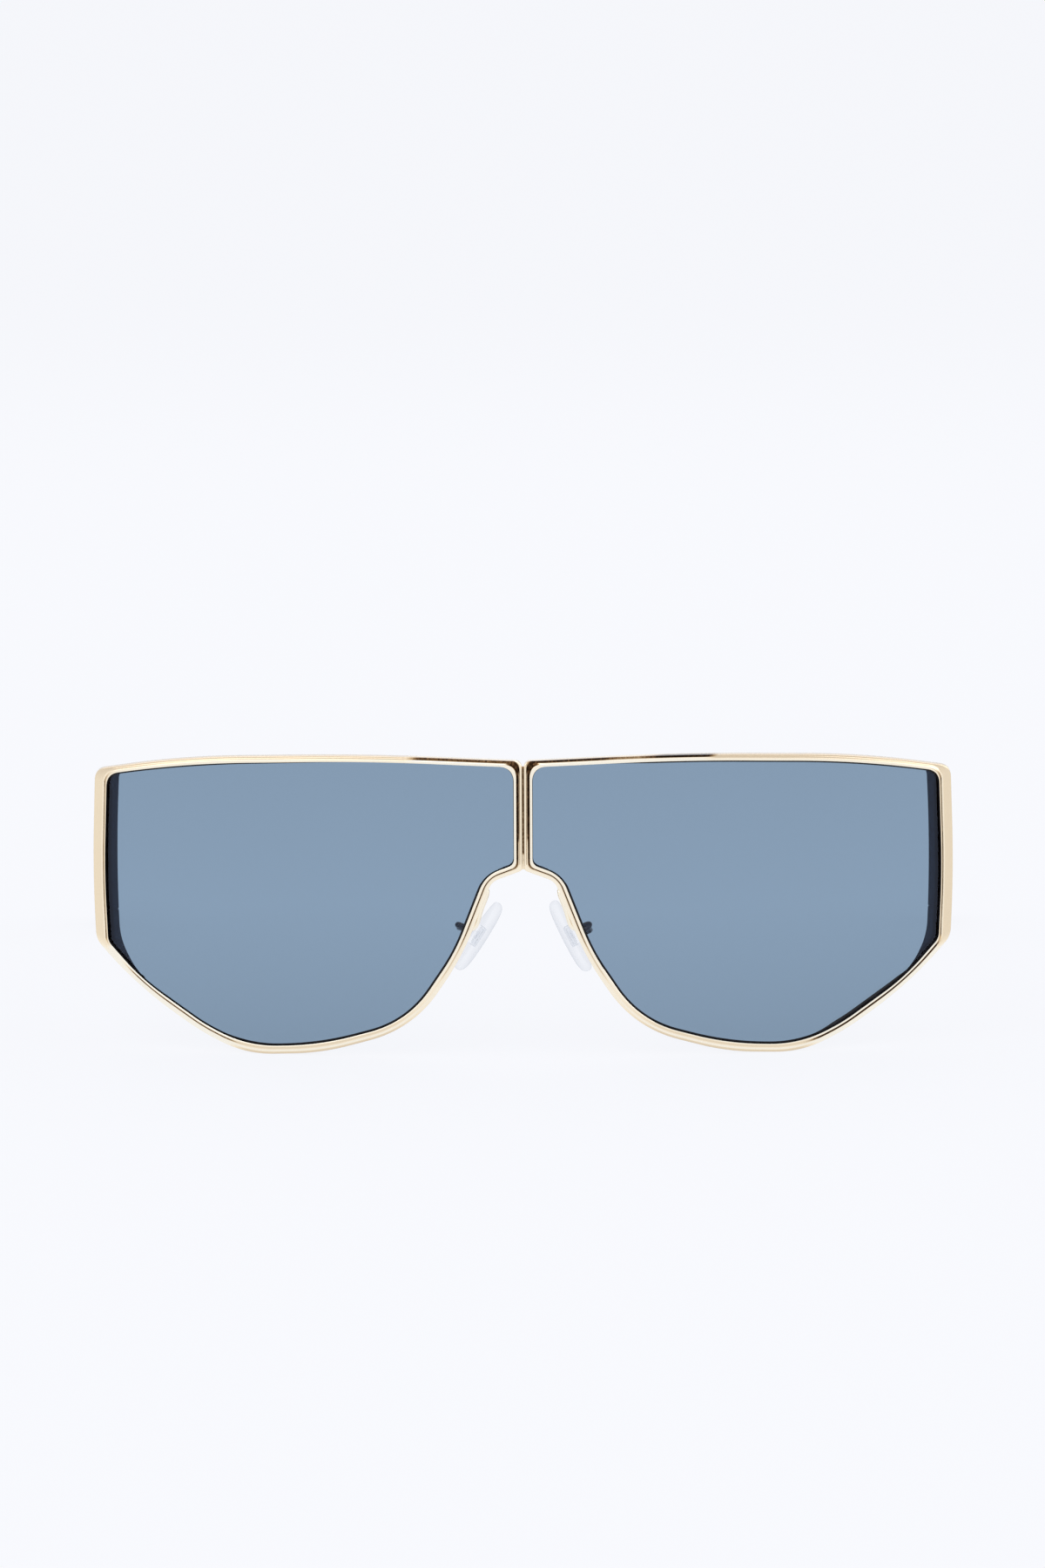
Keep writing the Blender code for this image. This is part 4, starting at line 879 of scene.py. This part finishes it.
def make_hinge(tag, side):
    """Both leaves with their knuckles, the hinge screw, the closing screw and the rivets."""
    centre = hinge_centre()
    low, high = centre.z - HALF_HINGE, centre.z + HALF_HINGE
    leaf_end = centre.y - LEAF_START
    web_rounding = 0.08 * MM

    parts = [plate(LEAF_FACE, leaf_end - FRONT_LEAF, leaf_end, low, high)]
    for start in (low, high - KNUCKLE_HEIGHT):
        end = start + KNUCKLE_HEIGHT
        parts.append(plate(LEAF_FACE, leaf_end - 0.3 * MM, centre.y, start, end, web_rounding))
        parts.append(knuckle(centre.x, centre.y, start))
    leaf = moved(joined(f"hinge_front_{tag}_leaf", *parts), side)
    finished(leaf, "front", "hinge_metal", STEEL, "hinge_front_" + tag)

    screw = slotted_screw(
        f"hinge_screw_{tag}_slotted", (centre.x, centre.y, high + HEAD_ROOM), (0, 0, -1),
        shank=0.5 * MM, head=1.0 * MM, length=5.7 * MM, head_height=0.6 * MM,
    )
    finished(moved(screw, side), "front", "hinge_metal", STEEL, "hinge_screw_" + tag)

    foot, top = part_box("closing_screw_right")
    middle = (foot + top) / 2
    screw = slotted_screw(
        f"closing_screw_{tag}_slotted", (middle.x, middle.y, foot.z), (0, 0, 1),
        shank=0.5 * MM, head=0.95 * MM, length=top.z - foot.z - 0.7 * MM, head_height=0.7 * MM,
    )
    finished(moved(screw, side), "front", "gold_plate", STEEL, "closing_screw_" + tag)

    splay = Matrix.Translation((side * centre.x, centre.y, 0)) @ Matrix.Rotation(-side * SPLAY, 4, "Z")
    leaf = plate(TEMPLE_INNER, LEAF_START, LEAF_START + TEMPLE_LEAF, low, high)
    start = centre.z - KNUCKLE_HEIGHT / 2
    web = plate(TEMPLE_INNER, 0, LEAF_START + 0.5 * MM, start, start + KNUCKLE_HEIGHT, web_rounding)
    bar = knuckle(0, 0, start)
    profile = [(radius * MM, height * MM) for radius, height in (
        (0.01, 2.3), (0.45, 2.3), (0.55, 2.2), (0.55, 0.12), (0.5, 0.05), (0.36, 0.01), (0.01, 0),
    )]
    for number, along in enumerate(RIVET_PLACES, 1):
        start, end = (TEMPLE_INNER - MM, along, centre.z), (TEMPLE_INNER + 2 * MM, along, centre.z)
        cut_away(leaf, barrel("hole", start, end, RIVET_HOLE))
        head = (TEMPLE_INNER, along, centre.z)
        rivet = turned(f"temple_rivet_{number}_{tag}_domed", head, (1, 0, 0), profile, 32)
        moved(rivet, side, splay)
        finished(rivet, "temple_arm_" + tag, "hinge_metal", STEEL, f"temple_rivet_{number}_{tag}")
    leaf = moved(joined(f"hinge_temple_{tag}_leaf", leaf, web, bar), side, splay)
    finished(leaf, "temple_arm_" + tag, "hinge_metal", STEEL, "hinge_temple_" + tag)
    return splay


def temple_outline(ear_angle):
    """The temple's outline: along from the fold axis, and up from the floor."""
    fall = tan(DROP_ANGLE)
    top = BLOCK_TOP - BLOCK_DEPTH * fall
    start, ear, wide = 0.15 * MM, EAR_SHARE * TEMPLE_REACH, WIDE_SHARE * TEMPLE_REACH
    ear_top = Vector((ear, top - ear * fall))
    tip_rear = Vector((TEMPLE_REACH, ear_top.y - (TEMPLE_REACH - ear) * tan(ear_angle)))
    tip_front = tip_rear - TEMPLE_WIDTH * Vector((sin(ear_angle), cos(ear_angle)))
    under = top - TEMPLE_WIDTH / cos(DROP_ANGLE)
    bend = (tip_front.y + tip_front.x * tan(ear_angle) - under) / (tan(ear_angle) - fall)
    corners = (
        (Vector((start, top)), 1.2 * MM, 8),
        (ear_top, 15 * MM, 24),
        (tip_rear, 3.4 * MM, 14),
        (tip_front, 3.4 * MM, 14),
        (Vector((bend, under - bend * fall)), 12 * MM, 24),
        (Vector((wide, under - wide * fall)), 15 * MM, 18),
        (Vector((start, 0.388 * top)), 3 * MM, 12),
    )
    return blended(corners, runs_of(corners, 6 * MM))


def make_temple(tag, side, splay):
    """The black arm, with rounded edges, a taper to the tip and the seat of its hinge leaf. Its ear
    drops as steeply as leaves the tip on the table."""
    shallow, steep = DROP_ANGLE, pi / 3
    for _ in range(24):
        ear_angle = (shallow + steep) / 2
        if min(p.y for p in temple_outline(ear_angle)) > 0:
            shallow = ear_angle
        else:
            steep = ear_angle
    outline = temple_outline(shallow)
    sides = [[Vector((x, p.x, p.y)) for p in outline] for x in (TEMPLE_OUTER, TEMPLE_INNER)]
    temple = soften(swept(f"temple_{tag}_black", sides), 0.55 * MM, 5, 60)
    for vert in temple.data.vertices:
        vert.co.x *= 1 - TEMPLE_TAPER * vert.co.y / TEMPLE_REACH
    height = hinge_centre().z
    low, high = height - HALF_SEAT, height + HALF_SEAT
    cut_away(temple, block("relief", (TEMPLE_INNER - MM, -MM, -MM), (0, 3 * MM, 60 * MM)))
    cut_away(temple, upright("space", 0, 0, low, high + HEAD_ROOM, KNUCKLE_ROOM))
    end = (TEMPLE_INNER + SEAT_DEPTH, LEAF_START + TEMPLE_LEAF + SEAT_ROOM, high)
    cut_away(temple, block("seat", (TEMPLE_INNER - MM, 0, low), end))
    for along in RIVET_PLACES:
        start, end = (TEMPLE_INNER, along, height), (TEMPLE_INNER + 2.6 * MM, along, height)
        cut_away(temple, barrel("hole", start, end, RIVET_HOLE))
    finished(moved(temple, side, splay), "temple_arm_" + tag, "black_gloss", BLACK, "temple_" + tag)


def make_brace():
    """The plate behind the twin bars, painted dark in front as shade in the groove between them."""
    low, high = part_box("bridge_brace")
    brace = soften(block("bridge_brace_plate", low, high), 0.3 * MM, 4)
    cut_strips(brace, [PLATE_LOW * MM, PLATE_HIGH * MM], (0, 0, 1))
    middle = (low.y + high.y) / 2
    tone = brace.data.attributes.new("tone", "FLOAT", "POINT")
    # Painted shade: the front in the groove between the bars is darkened, and the back stays gold
    for number, vert in enumerate(brace.data.vertices):
        dark = eased(vert.co.z / MM, PLATE_LOW, PLATE_HIGH) if vert.co.y < middle else 0
        tone.data[number].value = 0.8 - 0.52 * dark
    finished(brace, "front", "gold_plate", GOLD, "bridge_brace")


def pad_place(tag, side):
    """The pad screw's own frame: X away from the nose, Y along the screw, Z up the pad."""
    turn = Matrix.Rotation(-side * PAD_TURN, 4, "Z") @ Matrix.Rotation(-side * PAD_TILT[tag], 4, "Y")
    return Matrix.Translation(joint_place(f"pad_{tag}_rock")) @ turn


def centred(name, start, end, half_wide, half_high):
    """A block on the pad's screw, drawn in its own frame, in millimetres."""
    return block(
        name, (start * MM, -half_wide * MM, -half_high * MM), (end * MM, half_wide * MM, half_high * MM)
    )


def crosswise(name, half, radius):
    """A round bar along the pad's screw."""
    return barrel(name, (0, -half, 0), (0, half, 0), radius)


def make_pad(tag, side):
    """The silicone pad, a drop-shaped cushion that is flat behind and crowned towards the nose, its
    clear core with the screw eye, and the metal box and screw that hold it."""
    body = "pad_" + tag
    place = pad_place(tag, side)
    shape = []
    for step in range(PAD_POINTS):
        angle = 2 * pi * step / PAD_POINTS
        narrowing = 0.62 + 0.38 * (1 - cos(angle)) / 2
        shape.append((sin(angle) * PAD_HALF_WIDTH * (narrowing + 1) / 2, cos(angle) * PAD_HALF_LENGTH))
    rings = []
    for share, out in (
        (0.01, -1.7), (0.5, -1.7), (0.86, -1.7), (0.92, -1.74), (0.965, -1.86), (0.99, -2.1), (1.0, -2.35),
        (0.99, -2.65), (0.965, -2.9), (0.92, -3.12), (0.85, -3.32), (0.74, -3.47), (0.55, -3.56),
        (0.3, -3.595), (0.01, -3.6),
    ):
        length = max(0.02, 1 - (1 - share) * PAD_HALF_WIDTH / PAD_HALF_LENGTH)
        if share == 0.01:
            length *= 0.02
        rings.append([Vector((out * MM, across * share * MM, up * length * MM)) for across, up in shape])
    pad = swept(f"nose_pad_{tag}_silicone", rings)
    cut_away(pad, centred("pocket", -2.8, 0, 1.3, 1.8))
    finished(moved(pad, side, place), body, "clear_silicone", SILICONE, "nose_pad_" + tag)

    foot = soften(centred("foot", -2.5, -2, 1, 1.5), 0.12 * MM)
    neck = cut_away(centred("neck", -2.25, 0, 0.45, 0.55), crosswise("bore", MM, PIN_BORE))
    eye = soften(crosswise("eye", 0.45 * MM, 0.9 * MM), 0.08 * MM)
    cut_away(eye, crosswise("bore", MM, PIN_BORE))
    insert = joined(f"pad_insert_{tag}_foot", foot, soften(neck, 0.06 * MM), eye)
    finished(moved(insert, side, place), body, "clear_core", CORE, "pad_insert_" + tag)

    clip = soften(centred("clip", -0.7, 1.3, HALF_CLIP / MM, 0.95), 0.24 * MM)
    cut_away(clip, centred("slot", -2.7, 0.95, 0.75, 3))
    cut_away(clip, crosswise("bore", 3 * MM, PIN_BORE))
    clip.name = f"pad_box_{tag}_clip"
    finished(moved(clip, side, place), "front", "hinge_metal", BOX, "pad_box_" + tag)

    screw = slotted_screw(
        f"pad_screw_{tag}_slotted", (0, HALF_CLIP + 0.75 * MM, 0), (0, -1, 0),
        shank=0.35 * MM, head=0.7 * MM, length=2.7 * MM, head_height=0.45 * MM,
    )
    finished(moved(screw, side, place), "front", "hinge_metal", BOX, "pad_screw_" + tag)
    return place


def rim_edge_at(height):
    """How far across the rim's edge is beside the nose, at this height."""
    points = rim_outline(1.45)
    edge = HALF_WIDTH
    for first, second in zip(points, points[1:] + points[:1]):
        low, high = sorted((first.y, second.y))
        if low <= height < high:
            t = (height - first.y) / (second.y - first.y)
            edge = min(edge, first.x + t * (second.x - first.x))
    return edge


def make_pad_arm(tag, side, place):
    """The wire that runs down behind the rim and loops back into the pad's box. It is gold on the
    rim, and from its bend on, where it runs behind the tinted lens, it is painted dark as shade."""
    behind = FRONT + RIM_DEPTH + 0.8 * MM
    route = []
    for share in (0.5515, 0.48825, 0.425):
        height = share * FRONT_HEIGHT
        across = rim_edge_at(height) - 0.15 * MM
        route.append(Vector((side * across, behind + wrap(across), height)))
    height = 0.431 * FRONT_HEIGHT
    across = rim_edge_at(height) + 2.6 * MM
    route.append(Vector((side * across, FRONT + RIM_DEPTH + 2.6 * MM, height)))
    for back in (-2.5 * MM, -1.5 * MM):
        route.append(place @ Vector((side * 0.675 * MM, back, 0)))
    spans = len(route) - 1
    centres = []
    for number in range(spans * WIRE_STEPS + 1):
        span = min(number // WIRE_STEPS, spans - 1)
        t = number / WIRE_STEPS - span
        start, end = route[span], route[span + 1]
        leave = (end - route[max(span - 1, 0)]) / 2
        arrive = (route[min(span + 2, spans)] - start) / 2
        centres.append(
            (2 * t**3 - 3 * t**2 + 1) * start + (t**3 - 2 * t**2 + t) * leave
            + (3 * t**2 - 2 * t**3) * end + (t**3 - t**2) * arrive
        )
    rings, tones = [], []
    across = Vector((0, 1, 0))
    round_ends = (0.2, 0.45, 0.65, 0.8, 0.9, 0.96)
    bend = 2 * WIRE_STEPS
    turns = [2 * pi * step / WIRE_SIDES for step in range(WIRE_SIDES)]
    for number, centre in enumerate(centres):
        ahead = (centres[min(number + 1, len(centres) - 1)] - centres[max(number - 1, 0)]).normalized()
        across = (across - ahead * across.dot(ahead)).normalized()
        third = ahead.cross(across)
        from_end = min(number, len(centres) - 1 - number)
        radius = WIRE_RADIUS * (round_ends[from_end] if from_end < len(round_ends) else 1)
        rings.append([centre + radius * (cos(a) * across + sin(a) * third) for a in turns])
        # Painted shade: the wire is dark from the bend on, where it lies behind the lens
        tones.append([0.95 - 0.85 * eased(number, bend, bend + 6)] * WIRE_SIDES)
    arm = swept(f"pad_arm_{tag}_wire", rings, tones=tones)
    finished(arm, "front", "gold_plate", GOLD, "pad_arm_" + tag)


def looking(tree):
    """One for a ray that looks at something, straight, in a mirror or through glass."""
    path = tree.nodes.new("ShaderNodeLightPath")
    rays = path.outputs["Is Camera Ray"]
    for kind in ("Is Glossy Ray", "Is Transmission Ray"):
        either = tree.nodes.new("ShaderNodeMath")
        either.operation = "MAXIMUM"
        tree.links.new(rays, either.inputs[0])
        tree.links.new(path.outputs[kind], either.inputs[1])
        rays = either.outputs[0]
    return rays


def glow(tree, kind, colour, strength):
    """Light of one colour and strength."""
    made = tree.nodes.new(kind)
    made.inputs["Color"].default_value = (*colour, 1)
    made.inputs["Strength"].default_value = strength
    return made.outputs[0]


def mixed(tree, target, *sources):
    """Give a surface or the world a mix of two shaders, by the share that comes first."""
    mix = tree.nodes.new("ShaderNodeMixShader")
    for place, source in enumerate(sources):
        tree.links.new(source, mix.inputs[place])
    tree.links.new(mix.outputs[0], target.inputs["Surface"])


def make_room():
    """The pale room, a little dimmer as a light than as it looks."""
    world = bpy.context.scene.world or bpy.data.worlds.new("pale_room")
    bpy.context.scene.world = world
    world.use_nodes = True
    tree = world.node_tree
    tree.nodes.clear()
    seen = glow(tree, "ShaderNodeBackground", (0.938, 0.946, 0.982), 1.0)
    fill = glow(tree, "ShaderNodeBackground", (0.96, 0.97, 1.0), 0.8)
    mixed(tree, tree.nodes.new("ShaderNodeOutputWorld"), looking(tree), fill, seen)


def make_table():
    """The pale table, on which the shadows are faint."""
    deselect()
    bpy.ops.mesh.primitive_plane_add(size=60, location=(0, 20, 0))
    floor = bpy.context.object
    floor.name = "table"
    surface = bpy.data.materials.new("table_white")
    surface.use_nodes = True
    tree = surface.node_tree
    shader = tree.nodes["Principled BSDF"]
    looks = {"Base Color": (0.86, 0.87, 0.9, 1), "Roughness": 0.9, "Specular IOR Level": 0.1}
    for name, value in looks.items():
        shader.inputs[name].default_value = value
    pale = glow(tree, "ShaderNodeEmission", (0.938, 0.947, 0.984), 1.0)
    share = tree.nodes.new("ShaderNodeMath")
    share.operation = "MULTIPLY"
    share.inputs[1].default_value = 0.92
    tree.links.new(looking(tree), share.inputs[0])
    mixed(tree, tree.nodes["Material Output"], share.outputs[0], shader.outputs[0], pale)
    floor.data.materials.append(surface)


def make_lamps():
    """Three large soft lamps, turned to the middle of the table."""
    for name, place, size, power in (
        ("key", (-0.5, -0.7, 0.9), 1.15, 4.0),
        ("side", (0.8, -0.3, 0.6), 0.86, 2.2),
        ("back", (0.0, 0.9, 0.9), 1.0, 3.0),
    ):
        deselect()
        bpy.ops.object.light_add(type="AREA", location=place)
        lamp = bpy.context.object
        lamp.name = "soft_light_" + name
        lamp.data.shape = "SQUARE"
        lamp.data.size = size
        lamp.data.energy = power
        lamp.rotation_euler = (Vector((0, 0, 0.02)) - Vector(place)).to_track_quat("-Z", "Y").to_euler()


def make_camera():
    """The camera at the photograph's angle, from the front and a little above."""
    deselect()
    bpy.ops.object.camera_add()
    camera = bpy.context.object
    camera.name = "photo_camera"
    away = Vector((0, -cos(CAMERA_HEIGHT), sin(CAMERA_HEIGHT)))
    camera.location = CAMERA_AIM + away * CAMERA_DISTANCE
    roll = Matrix.Rotation(CAMERA_ROLL, 3, "Z")
    camera.rotation_euler = ((-away).to_track_quat("-Z", "Y").to_matrix() @ roll).to_euler()
    camera.data.sensor_width = 36
    camera.data.lens = CAMERA_LENS
    camera.data.clip_start = 0.01
    camera.data.clip_end = 100
    bpy.context.scene.camera = camera
    bpy.context.scene.view_settings.view_transform = "Standard"


make_brace()
for tag, side in (("left", -1), ("right", 1)):
    make_rim(tag, side)
    make_lens(tag, side)
    make_endpieces(tag, side)
    splay = make_hinge(tag, side)
    make_temple(tag, side, splay)
    place = make_pad(tag, side)
    make_pad_arm(tag, side, place)
make_room()
make_table()
make_lamps()
make_camera()
deselect()
